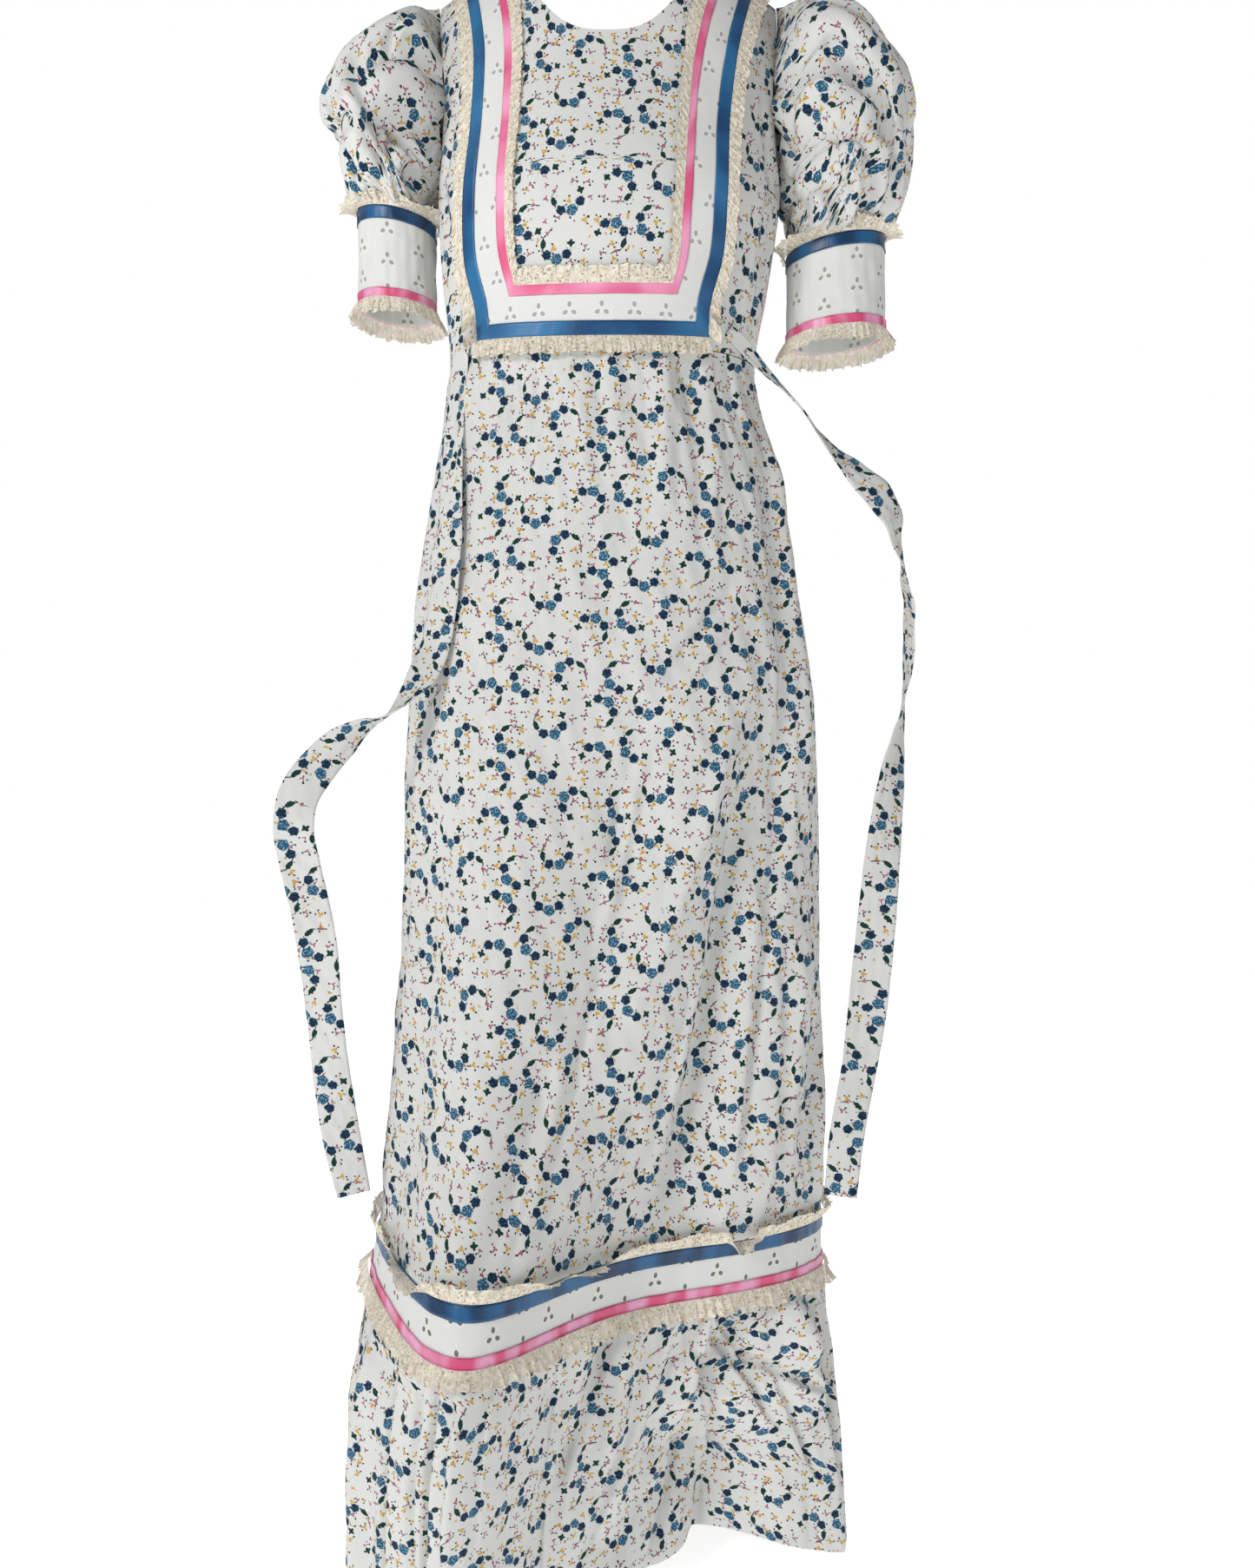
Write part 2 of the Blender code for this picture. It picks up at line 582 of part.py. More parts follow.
FRONT_COLUMNS = 25
BACK_COLUMNS = 8
BODICE_LOW_RISES = (0.001, 0.05, 0.11, 0.19, 0.30, 0.40, 0.50)
BODICE_HIGH_RISES = (0.60, 0.70, 0.79, 0.87, 0.93, 0.968, 0.989)
# The front and back meet over the shoulder, where their depth runs out as the rise nears 1
SHOULDER_SEAM_RISE = 0.999998
BODICE_RISES = np.array((*BODICE_LOW_RISES, *BODICE_HIGH_RISES, SHOULDER_SEAM_RISE))


def make_bodice(material):
    """Front panel, and two back panels that meet at the centre back seam."""
    front = spaced(-1.0 + SEAM_ACROSS, 1.0 - SEAM_ACROSS, FRONT_COLUMNS)
    panel("bodice_front", BODICE_FRONT, front, BODICE_RISES, -WALL, 0.0, material, FRONT_SIDE)
    for name, start, end in (("l", -1.0, 0.0), ("r", 0.0, 1.0)):
        across = spaced(start + SEAM_ACROSS * 1.5, end - SEAM_ACROSS * 1.5, BACK_COLUMNS)
        panel(f"bodice_back_{name}", BODICE_BACK, across, BODICE_RISES, -WALL, 0.0, material, BACK_SIDE)


def front_place(x, height):
    """The bodice front's own parameters of the point at x and at a height, by Newton's method."""
    x, height = np.broadcast_arrays(np.asarray(x, float), np.asarray(height, float))
    across = np.degrees(np.arcsin(np.clip(x / SHOULDER_HALF_WIDTH, -0.98, 0.98))) / 90.0
    rise = (height - EMPIRE_Z) / (top_edge(x, NECK_FRONT_DROP) - EMPIRE_Z)
    step = 1e-4
    for _ in range(12):
        here = BODICE_FRONT(across, rise)
        by_across = (BODICE_FRONT(across + step, rise) - here) / step
        by_rise = (BODICE_FRONT(across, rise + step) - here) / step
        miss_x = x - here[..., 0]
        miss_z = height - here[..., 2]
        scale = by_across[..., 0] * by_rise[..., 2] - by_rise[..., 0] * by_across[..., 2]
        across = across + (miss_x * by_rise[..., 2] - by_rise[..., 0] * miss_z) / scale
        rise = rise + (by_across[..., 0] * miss_z - by_across[..., 2] * miss_x) / scale
        across = np.clip(across, -0.995, 0.995)
        rise = np.clip(rise, 0.001, 0.996)
    return across, rise


def front_across(x, rise):
    """How far across the bodice front lies at x, on the line of a rise."""
    across = np.degrees(np.arcsin(np.clip(x / SHOULDER_HALF_WIDTH, -0.98, 0.98))) / 90.0
    step = 1e-4
    for _ in range(10):
        here = BODICE_FRONT(across, rise)[..., 0]
        slope = (BODICE_FRONT(across + step, rise)[..., 0] - here) / step
        across = np.clip(across + (x - here) / slope, -0.995, 0.995)
    return across


YOKE_BOTTOM_STEPS = 11
YOKE_CORNER_STEPS = 3


def halved(values):
    """The values with the middle of each pair put between them."""
    middles = 0.5 * (values[:-1] + values[1:])
    return np.append(np.stack([values[:-1], middles], axis=1).ravel(), values[-1])


def yoke_edge(direction, offset, rise):
    """Where a line at an offset from the pink ribbon's outer edge lies at a rise: left -1, right 1."""
    level = table(YOKE_ROWS, YOKE_COLUMNS, "rise", rise)
    return level["middle"] + direction * (level["half_width"] + offset * level["squeeze"])


def bottom_bow(x):
    """How much the yoke's bottom bows up at x."""
    return YOKE_BOTTOM_BOW * ((x - YOKE_ROWS[0][YOKE_COLUMNS.index("middle")]) / 0.1) ** 2


def yoke_path(offset, dense=False):
    """The U round the yoke, at an offset outwards from the pink ribbon's outer edge.

    Returns across and rise along the left side, the bottom and the right side. The sides climb
    from the corner by the panel's own rows, and the bottom bows up a little towards its ends.
    A dense path has a point more in the middle of each step.
    """
    bottom_z = max(YOKE_CORNER_Z - offset, EMPIRE_Z + SEAM_ACROSS)
    sides = []
    corners = []
    for direction in (-1.0, 1.0):
        corner_x = yoke_edge(direction, offset, 0.0)
        for _ in range(4):
            corner_rise = float(front_place(corner_x, bottom_z + bottom_bow(corner_x))[1])
            corner_x = yoke_edge(direction, offset, corner_rise)
        corners.append(float(corner_x))
        upper = BODICE_RISES[BODICE_RISES > 0.29]
        rises = np.concatenate([spaced(corner_rise, upper[0], YOKE_CORNER_STEPS)[:-1], upper])
        sides.append((front_across(yoke_edge(direction, offset, rises), rises), rises))
    x = spaced(*corners, YOKE_BOTTOM_STEPS + 2)[1:-1]
    across, rise = front_place(x, bottom_z + bottom_bow(x))
    path = (
        np.concatenate([sides[0][0][::-1], across, sides[1][0]]),
        np.concatenate([sides[0][1][::-1], rise, sides[1][1]]),
    )
    return tuple(halved(values) for values in path) if dense else path


def yoke_strip(name, near, far, across_points, material):
    """A flat strip round the U between two offsets, lying on the bodice front."""
    paths = [yoke_path(offset) for offset in spaced(near, far, across_points)]
    across = np.stack([path[0] for path in paths], axis=1)
    rise = np.stack([path[1] for path in paths], axis=1)
    low = np.full(across.shape, YOKE_LIFT)
    outer = lifted(BODICE_FRONT, across, rise, low + TRIM_THICK, FRONT_SIDE)
    inner = lifted(BODICE_FRONT, across, rise, low, FRONT_SIDE)
    return wall(name, outer, inner, material)


def wave_lift(count, waves, low, amplitude):
    """Lift of a gathered free edge: never under low, rising and falling once for each wave."""
    t = np.arange(count) / (count - 1)
    return low + amplitude * (0.5 + 0.5 * np.sin(2.0 * math.pi * waves * t))


LACE_STEPS_PER_WAVE = 4


def yoke_lace(name, near, far, stretch, material):
    """Gathered lace beside a ribbon of the yoke: sewn at near, free and waving at far."""
    edges = [yoke_path(offset, dense=True) for offset in (near, far)]
    across = np.stack([edge[0] for edge in edges], axis=1)[stretch]
    rise = np.stack([edge[1] for edge in edges], axis=1)[stretch]
    count = across.shape[0]
    waving = wave_lift(count, count / LACE_STEPS_PER_WAVE, YOKE_LACE_LOW, YOKE_LACE_WAVE)
    low = np.stack([np.full(count, YOKE_LIFT), waving], axis=1)
    outer = lifted(BODICE_FRONT, across, rise, low + LACE_THICK, FRONT_SIDE)
    inner = lifted(BODICE_FRONT, across, rise, low, FRONT_SIDE)
    return wall(name, outer, inner, material)


def empire_lace(material):
    """Gathered lace below the yoke's blue ribbon, lying over the seam and the skirt's top."""
    edges = yoke_edge(np.array([-1.0, 1.0]), BAND_SIDE_WIDTH + BLUE_WIDTH, 0.0)
    ring = table(BODY_ROWS, BODY_COLUMNS, "height", EMPIRE_Z)
    ends = (edges - ring["centre"]) / ring["half_width"]
    turns = spaced(*np.arcsin(ends), EMPIRE_LACE_WAVES * LACE_STEPS_PER_WAVE + 1)
    count = len(turns)
    turn = np.stack([turns, turns], axis=1)
    height = np.array([EMPIRE_LACE_TOP, EMPIRE_LACE_LOW]) + bottom_bow(body(turns, EMPIRE_Z)[:, :1])
    waving = wave_lift(count, EMPIRE_LACE_WAVES, EMPIRE_LACE_STAND, EMPIRE_LACE_WAVE)
    low = np.stack([np.full(count, YOKE_LIFT), waving], axis=1)
    outer = lifted(body, turn, height, low + LACE_THICK, BODY_SIDE)
    inner = lifted(body, turn, height, low, BODY_SIDE)
    return wall("empire_lace", outer, inner, material)


def make_yoke(cloth):
    """Eyelet band, its two ribbons and the laces beside them, all on the bodice front."""
    blue_in = BAND_SIDE_WIDTH + SEAM_GAP
    blue_out = blue_in + BLUE_WIDTH
    yoke_strip("yoke_band", SEAM_GAP, BAND_SIDE_WIDTH, 3, cloth["eyelet"])
    yoke_strip("yoke_pink_ribbon", -PINK_WIDTH, 0.0, 2, cloth["pink"])
    yoke_strip("yoke_blue_ribbon", blue_in, blue_out, 2, cloth["blue"])
    inner = -PINK_WIDTH - LACE_GAP
    yoke_lace("yoke_lace_inner", inner, inner - YOKE_LACE_WIDTH, slice(None), cloth["lace"])
    outer = blue_out + LACE_GAP
    side_points = len(yoke_path(0.0)[0]) - YOKE_BOTTOM_STEPS - 1
    left, right = slice(0, side_points - 1), slice(1 - side_points, None)
    yoke_lace("yoke_lace_outer_l", outer, outer + OUTER_LACE_WIDTH, left, cloth["lace"])
    yoke_lace("yoke_lace_outer_r", outer, outer + OUTER_LACE_WIDTH, right, cloth["lace"])
    empire_lace(cloth["lace"])


def sleeve_edge(side_sign, count):
    """The armhole: points round it from the shoulder point down the front and up the back."""
    half = count // 2
    down = spaced(1.0, ARMHOLE_LOW, half + 1)
    front = BODICE_FRONT(np.full(down.shape, side_sign), down)
    back = BODICE_BACK(np.full(down.shape, side_sign), down)
    return np.concatenate([front[:-1], back[::-1][:-1]])


def sleeve_rings(side, count):
    """Rings of the sleeve: the armhole, then the table's rings, each an oval turned in its plane."""
    sign = 1.0 if side == "r" else -1.0
    rings = [sleeve_edge(sign, count) + np.array([sign * SLEEVE_SEAM_GAP, 0.0, 0.0])]
    angle = 2.0 * math.pi * np.arange(count) / count
    rows = SLEEVE_ROWS[side]
    for number, values in enumerate(rows):
        row = dict(zip(SLEEVE_COLUMNS, values))
        along = (number + 1) / len(rows)
        reach = np.cos(angle)
        middle_x = 0.5 * (row["outer_x"] + row["inner_x"])
        middle_z = 0.5 * (row["outer_z"] + row["inner_z"])
        half_x = 0.5 * (row["outer_x"] - row["inner_x"])
        half_z = 0.5 * (row["outer_z"] - row["inner_z"])
        swell = sleeve_swell(side, angle, along)
        ring = points(
            middle_x + half_x * reach * (1.0 + swell / SLEEVE_MEAN_RADIUS * (reach > 0.2)),
            -row["half_depth"] * np.sin(angle) * (1.0 + swell / SLEEVE_MEAN_RADIUS),
            middle_z + half_z * reach,
        )
        rings.append(ring)
    return np.stack(rings, axis=1)


def sleeve_swell(side, angle, along):
    """How far the sleeve's folds and gathers stand out at an angle round a ring."""
    total = np.zeros(angle.shape)
    for values in SLEEVE_FOLDS[side]:
        fold = dict(zip(SLEEVE_FOLD_COLUMNS, values))
        t = (along - fold["along_top"]) / (fold["along_low"] - fold["along_top"])
        middle = math.radians(fold["round_top"] + (fold["round_low"] - fold["round_top"]) * t)
        apart = (angle - middle + math.pi) % (2.0 * math.pi) - math.pi
        ends = min(max(3.0 * (t + 0.2), 0.0), 1.0) * min(max(3.0 * (1.2 - t), 0.0), 1.0)
        total = total + fold["rise"] * hump(apart / math.radians(fold["half_round"]) / FOLD_FOOT) * ends
    near_ends = (2.0 * along - 1.0) ** 2
    closed_end = min(max((1.0 - along) * 8.0, 0.0), 1.0)
    gathers = SLEEVE_GATHER_DEPTH * np.sin(SLEEVE_GATHERS * angle) * (0.35 + 0.65 * near_ends)
    return (total + gathers) * closed_end


def ring_wall(name, rings, material, thick):
    """A closed tube of rings, its wall between the rings and the same moved inwards."""
    around = np.roll(rings, -1, axis=0) - np.roll(rings, 1, axis=0)
    down = np.gradient(rings, axis=1)
    across = np.cross(around, down)
    across = across / np.linalg.norm(across, axis=-1, keepdims=True)
    centre = rings.mean(axis=0, keepdims=True)
    facing = np.sign(np.sum(across * (rings - centre), axis=-1).sum())
    return wall(name, rings, rings - facing * thick * across, material, closed=True)


SLEEVE_AROUND = 26


def make_sleeves(material):
    for side in ("l", "r"):
        ring_wall(f"sleeve_{side}", sleeve_rings(side, SLEEVE_AROUND), material, WALL)


def cuff_point(side, angle, along, lift):
    """A cuff is an oval tube from its top ring (along 0) to its bottom ring (along 1)."""
    top, low = (dict(zip(CUFF_COLUMNS, values)) for values in CUFF_ROWS[side])
    row = {name: top[name] + (low[name] - top[name]) * along for name in CUFF_COLUMNS}
    reach = np.cos(angle)
    half_x = 0.5 * (row["outer_x"] - row["inner_x"])
    half_z = 0.5 * (row["outer_z"] - row["inner_z"])
    sign = 1.0 if side == "r" else -1.0
    return points(
        0.5 * (row["outer_x"] + row["inner_x"]) + (half_x + sign * lift) * reach,
        -(row["half_depth"] + lift) * np.sin(angle),
        0.5 * (row["outer_z"] + row["inner_z"]) + half_z * reach,
    )


CUFF_AROUND = 22
CUFF_HEIGHT = 0.083


def cuff_tube(name, side, start, end, low, high, material):
    angle, along = grid(2.0 * math.pi * np.arange(CUFF_AROUND) / CUFF_AROUND, np.array([start, end]))
    outer = cuff_point(side, angle, along, np.full(angle.shape, high))
    inner = cuff_point(side, angle, along, np.full(angle.shape, low))
    return wall(name, outer, inner, material, closed=True)


def cuff_lace(name, side, start, rise, sewn_lift, flare, material):
    """A gathered frill round a cuff: sewn at start, its free edge rise metres on and waving."""
    around = CUFF_LACE_WAVES * LACE_STEPS_PER_WAVE
    angle = 2.0 * math.pi * np.arange(around) / around
    wave = 0.5 + 0.5 * np.sin(CUFF_LACE_WAVES * angle)
    flare = flare * (0.30 + 0.70 * (0.5 + 0.5 * np.cos(angle)))
    along = np.stack([np.full(around, start), np.full(around, start + rise / CUFF_HEIGHT)], axis=1)
    lift = np.stack([np.full(around, sewn_lift), flare * (0.6 + 0.8 * wave)], axis=1)
    both = np.stack([angle, angle], axis=1)
    inner = cuff_point(side, both, along, lift)
    outer = cuff_point(side, both, along, lift + LACE_THICK)
    return wall(name, outer, inner, material, closed=True)


def make_cuffs(cloth):
    """Eyelet cuffs with a blue ribbon above, a pink one below and a frill beyond each ribbon."""
    blue = BLUE_WIDTH / CUFF_HEIGHT
    pink = PINK_WIDTH / CUFF_HEIGHT
    gap = SEAM_GAP / CUFF_HEIGHT
    for side in ("l", "r"):
        cuff_tube(f"cuff_{side}", side, 0.004, 1.0, -WALL, 0.0, cloth["eyelet"])
        low, high = SEAM_GAP, SEAM_GAP + TRIM_THICK
        name = f"cuff_blue_ribbon_{side}"
        cuff_tube(name, side, CUFF_BLUE_AT, CUFF_BLUE_AT + blue, low, high, cloth["blue"])
        cuff_tube(f"cuff_pink_ribbon_{side}", side, 1.0 - pink, 1.0, low, high, cloth["pink"])
        for end, start, rise, flare in (
            ("top", CUFF_TOP_LACE_AT, -CUFF_LACE_RISE, CUFF_TOP_LACE_FLARE),
            ("low", 1.0 + gap, CUFF_LACE_DROP, CUFF_LOW_LACE_FLARE),
        ):
            name = f"cuff_{end}_lace_{side}"
            cuff_lace(name, side, start, rise, CUFF_LACE_SEWN_LIFT[end], flare, cloth["lace"])


SKIRT_COLUMNS = {"front": 30, "back": 18}
SKIRT_LEVELS = 15
BAND_LEVELS = 3
FLOUNCE_COLUMNS = {"front": 41, "back": 31}
FLOUNCE_LEVELS = 6
SEAM_TURN = math.radians(0.06)
HALVES = (("front", -0.5 * math.pi, 0.5 * math.pi), ("back", 0.5 * math.pi, 1.5 * math.pi))


def half_turns(start, end, count):
    return spaced(start + SEAM_TURN, end - SEAM_TURN, count)


def make_skirt(cloth):
    """Skirt, eyelet hem band with its ribbons and laces, and flounce, each cut in two halves."""
    for half, start, end in HALVES:
        turns = half_turns(start, end, SKIRT_COLUMNS[half])
        levels = spaced(EMPIRE_Z - SEAM_GAP, BAND_TOP_Z + SEAM_GAP, SKIRT_LEVELS)
        panel(f"skirt_{half}", skirt_surface, turns, levels, -WALL, 0.0, cloth["print"], BODY_SIDE)
        levels = spaced(BAND_TOP_Z, BAND_BOTTOM_Z, BAND_LEVELS)
        panel(f"hem_band_{half}", body, turns, levels, -WALL, 0.0, cloth["eyelet"], BODY_SIDE)
        low, high = SEAM_GAP * 2.0, SEAM_GAP * 2.0 + TRIM_THICK
        for ribbon, top, width in (
            ("blue", BAND_TOP_Z, BLUE_WIDTH),
            ("pink", BAND_BOTTOM_Z + PINK_WIDTH, PINK_WIDTH),
        ):
            levels = np.array([top, top - width])
            name = f"hem_{ribbon}_ribbon_{half}"
            panel(name, body, turns, levels, low, high, cloth[ribbon], BODY_SIDE)
        turns = half_turns(start, end, FLOUNCE_COLUMNS[half])
        turn, share = grid(turns, spaced(0.0, 1.0, FLOUNCE_LEVELS) ** 1.15)
        top = BAND_BOTTOM_Z - SEAM_GAP
        height = top + (HEM_Z + lift_at(HEM_LIFTS, turn) - top) * share
        name = f"flounce_{half}"
        wall_on(name, flounce_surface, turn, height, -WALL, 0.0, cloth["print"], BODY_SIDE)
        name = f"hem_top_lace_{half}"
        hem_lace(name, skirt_surface, start, end, BAND_TOP_Z + HEM_LACE_GAP, HEM_LACE_RISE, cloth["lace"])
        name = f"hem_low_lace_{half}"
        low_start = BAND_BOTTOM_Z - HEM_LACE_GAP
        hem_lace(name, flounce_surface, start, end, low_start, -HEM_LACE_DROP, cloth["lace"])


def hem_lace(name, surface, start, end, sewn, reach, material):
    """Gathered lace over a half of the hem: sewn at a level, its free edge reach metres on."""
    waves = HEM_LACE_WAVES // 2
    count = waves * LACE_STEPS_PER_WAVE + 1
    turns = half_turns(start, end, count)
    turn = np.stack([turns, turns], axis=1)
    height = np.stack([np.full(count, sewn), np.full(count, sewn + reach)], axis=1)
    waving = wave_lift(count, waves, HEM_LACE_STAND, HEM_LACE_WAVE)
    lift = np.stack([np.full(count, HEM_LACE_SEWN_LIFT), waving], axis=1)
    inner = lifted(surface, turn, height, lift, BODY_SIDE)
    outer = lifted(surface, turn, height, lift + LACE_THICK, BODY_SIDE)
    return wall(name, outer, inner, material)


def make_ties(material):
    """Two long ties: a strip carried along a smooth line through the table's places."""
    for side, rows in TIE_ROWS.items():
        places = np.stack([column(rows, TIE_COLUMNS, name) for name in ("x", "y", "z")], axis=1)
        lengths = np.linalg.norm(np.diff(places, axis=0), axis=1)
        knots = np.concatenate([[0.0], np.cumsum(lengths)])
        at = spaced(0.0, knots[-1], TIE_STEPS)
        middle = np.stack([through(knots, places[:, axis], at) for axis in range(3)], axis=1)
        width = through(knots, column(rows, TIE_COLUMNS, "width"), at)
        turn = np.radians(through(knots, column(rows, TIE_COLUMNS, "turn"), at))
        forward = np.gradient(middle, axis=0)
        forward = forward / np.linalg.norm(forward, axis=1, keepdims=True)
        facing = np.array([0.0, -1.0, 0.0]) - forward * (-forward[:, 1:2])
        facing = facing / np.linalg.norm(facing, axis=1, keepdims=True)
        sideways = np.cross(forward, facing)
        across = np.cos(turn)[:, None] * sideways + np.sin(turn)[:, None] * facing
        normal = -np.sin(turn)[:, None] * sideways + np.cos(turn)[:, None] * facing
        reach = 0.5 * width[:, None] * across
        edges = np.stack([middle - reach, middle + reach], axis=1)
        half = 0.5 * TIE_THICK * normal[:, None, :]
        wall(f"tie_{side}", edges + half, edges - half, material)


def main():
    clear_scene()
    cloth = {
        "print": cloth_material("print_cotton", PRINT_COTTON),
        "eyelet": cloth_material("eyelet_cotton", EYELET_COTTON),
        "blue": cloth_material("blue_satin", BLUE_SATIN),
        "pink": cloth_material("pink_satin", PINK_SATIN),
        "lace": cloth_material("ecru_lace", ECRU_LACE),
    }
    make_bodice(cloth["print"])
    make_yoke(cloth)
    make_sleeves(cloth["print"])
    make_cuffs(cloth)
    make_skirt(cloth)
    make_ties(cloth["print"])


main()
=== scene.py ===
"""Looks of a floor-length printed cotton dress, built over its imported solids.

Metres, +Z up, front towards -Y. The sections follow the dress as it is sewn together: bodice,
sleeves, yoke trims, cuffs, skirt, hem band, flounce, ties.
"""

import math

import bpy
import numpy as np
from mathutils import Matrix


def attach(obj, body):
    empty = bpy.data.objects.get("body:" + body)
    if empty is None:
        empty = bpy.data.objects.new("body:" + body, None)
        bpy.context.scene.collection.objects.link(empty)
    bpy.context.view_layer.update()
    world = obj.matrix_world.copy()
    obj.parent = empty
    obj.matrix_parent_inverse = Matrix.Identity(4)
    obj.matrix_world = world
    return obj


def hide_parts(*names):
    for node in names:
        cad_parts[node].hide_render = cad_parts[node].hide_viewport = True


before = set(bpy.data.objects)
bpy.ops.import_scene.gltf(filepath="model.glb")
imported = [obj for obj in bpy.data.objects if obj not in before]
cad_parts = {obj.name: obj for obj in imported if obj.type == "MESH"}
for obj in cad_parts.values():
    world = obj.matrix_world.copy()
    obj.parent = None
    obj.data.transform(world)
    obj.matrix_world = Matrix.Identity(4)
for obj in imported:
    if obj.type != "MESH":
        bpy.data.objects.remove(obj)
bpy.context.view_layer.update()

# Camera, light and floor
# The camera stands level 1.3 m in front of the dress, and a pale floor lies at the hem. A soft
# light from the front left gives the folds their shade, a weak one fills, one lights the back.
camera_data = bpy.data.cameras.new("camera")
camera_data.sensor_width = 36.0
camera_data.lens = 33.69
camera = bpy.data.objects.new("camera", camera_data)
camera.location = (0.017, -1.30, -0.722)
camera.rotation_euler = (math.radians(90.0), 0.0, 0.0)
bpy.context.scene.collection.objects.link(camera)
bpy.context.scene.camera = camera
bpy.context.scene.view_settings.view_transform = "Standard"

FLOOR_Z = -1.4075


def soft_light(name, place, towards, size, power, colour):
    """A square area light at a place, facing a point."""
    data = bpy.data.lights.new(name, "AREA")
    data.shape = "SQUARE"
    data.size = size
    data.energy = power
    data.color = colour
    light = bpy.data.objects.new(name, data)
    light.location = place
    away = np.array(place) - np.array(towards)
    flat = math.hypot(away[0], away[1])
    light.rotation_euler = (math.atan2(flat, away[2]), 0.0, math.atan2(away[0], -away[1]))
    bpy.context.scene.collection.objects.link(light)


soft_light("key_light", (-1.7, -2.2, 0.6), (0.0, 0.0, -0.65), 0.9, 42.0, (1.0, 0.997, 0.99))
soft_light("fill_light", (1.9, -2.0, -0.2), (0.0, 0.0, -0.8), 1.8, 3.0, (0.95, 0.98, 1.0))
soft_light("back_light", (0.9, 2.5, 0.5), (0.0, 0.0, -0.7), 1.4, 24.0, (1.0, 0.998, 0.99))

world = bpy.data.worlds.new("studio")
bpy.context.scene.world = world
world.use_nodes = True
WHITE = (1.0, 1.0, 1.0, 1.0)
SKY_LIGHT = 0.225
sky_nodes = world.node_tree.nodes
sky = sky_nodes["Background"]
sky.inputs["Color"].default_value = WHITE
sky.inputs["Strength"].default_value = SKY_LIGHT
seen = sky_nodes.new("ShaderNodeBackground")
seen.inputs["Color"].default_value = WHITE
path = sky_nodes.new("ShaderNodeLightPath")
chosen = sky_nodes.new("ShaderNodeMixShader")
for output, entry in (
    (path.outputs["Is Camera Ray"], chosen.inputs[0]),
    (sky.outputs[0], chosen.inputs[1]),
    (seen.outputs[0], chosen.inputs[2]),
    (chosen.outputs[0], sky_nodes["World Output"].inputs[0]),
):
    world.node_tree.links.new(output, entry)

floor_mesh = bpy.data.meshes.new("floor")
FLOOR_HALF = 6.0
floor_corners = [(x * FLOOR_HALF, y * FLOOR_HALF, FLOOR_Z) for x, y in ((-1, -1), (1, -1), (1, 1), (-1, 1))]
floor_mesh.from_pydata(floor_corners, [], [(0, 1, 2, 3)])
floor = bpy.data.objects.new("floor", floor_mesh)
floor_look = bpy.data.materials.new("floor")
floor_look.use_nodes = True
floor_shader = floor_look.node_tree.nodes["Principled BSDF"]
for name, value in (
    ("Base Color", (0.97, 0.97, 0.965, 1.0)),
    ("Roughness", 0.9),
    ("Specular IOR Level", 0.1),
    ("Emission Color", WHITE),
    ("Emission Strength", 0.78),
):
    floor_shader.inputs[name].default_value = value
floor_mesh.materials.append(floor_look)
bpy.context.scene.collection.objects.link(floor)

# Bodice: a front and two backs of off-white cotton lawn printed with blue rose wreaths.
# Each panel is cut to the neckline, shoulder, armhole and side seam, and is sewn to the skirt
# at the seam under the bust. Every panel's surface is a function of two parameters.
EMPIRE_Z = -0.360
NECK_HALF_WIDTH = 0.083
NECK_POINT_Z = -0.002
NECK_FRONT_DROP = 0.101
NECK_BACK_DROP = 0.022
NECK_CURVE = 2.8
SHOULDER_HALF_WIDTH = 0.148
SHOULDER_POINT_Z = -0.036
SHOULDER_ROUNDING = 0.115
SHOULDER_SHORT = 0.002
SHOULDER_SHORT_POWER = 14
ARMHOLE_LOW = 0.46
ARMHOLE_TURN_IN = 20.0
LIFT_COLUMNS = ("turn", "lift")
BAND_DRAWS = (
    (-180, 0),
    (-160, 0.002),
    (-130, 0.014),
    (-108, 0.027),
    (-90, 0.03),
    (-72, 0.027),
    (-56, 0.016),
    (-44, 0.005),
    (-32, 0),
    (-20, 0),
    (180, 0),
)
DRAW_COLUMNS = ("height", "share")
DRAW_SHARES = (
    (0, 0),
    (-0.88, 0),
    (-0.96, 0),
    (-1.04, 0.15),
    (-1.11, 0.6),
    (-1.154, 1),
    (-1.24, 0.75),
    (-1.32, 0.35),
    (-1.41, 0),
)
BODY_COLUMNS = ("height", "centre", "half_width", "front", "back", "lean", "front_knee", "back_knee")
BODY_ROWS = (
    (0, 0.001, 0.15, 0.088, 0.07, 0, 0, 0),
    (-0.1, 0.001, 0.149, 0.096, 0.082, 0, 0, 0),
    (-0.17, 0.001, 0.148, 0.112, 0.094, 0, 0, 0),
    (-0.225, 0.001, 0.148, 0.121, 0.096, 0, 0, 0),
    (-0.29, -0.002, 0.142, 0.11, 0.09, 0, 0, 0),
    (-0.36, -0.005, 0.134, 0.097, 0.084, 0, 0, 0),
    (-0.46, -0.001, 0.152, 0.106, 0.093, 0, 0.002, 0),
    (-0.56, 0, 0.168, 0.113, 0.106, 0.004, 0.006, 0),
    (-0.64, 0.004, 0.177, 0.116, 0.118, 0.008, 0.012, 0.004),
    (-0.72, 0.005, 0.18, 0.115, 0.12, 0.014, 0.022, 0.014),
    (-0.8, 0.007, 0.18, 0.112, 0.12, 0.02, 0.036, 0.026),
    (-0.92, 0.006, 0.184, 0.106, 0.121, 0.028, 0.062, 0.042),
    (-1.02, 0.005, 0.188, 0.1, 0.123, 0.034, 0.092, 0.056),
    (-1.11, 0, 0.193, 0.094, 0.126, 0.04, 0.13, 0.066),
    (-1.17, -0.004, 0.198, 0.09, 0.128, 0.042, 0.144, 0.072),
    (-1.24, -0.007, 0.209, 0.08, 0.132, 0.038, 0.15, 0.08),
    (-1.32, -0.008, 0.215, 0.062, 0.138, 0.026, 0.152, 0.092),
    (-1.41, -0.008, 0.217, 0.046, 0.144, 0.014, 0.152, 0.104),
)
BODY_FLATNESS = 0.85
FRONT_KNEE_AT = -0.60
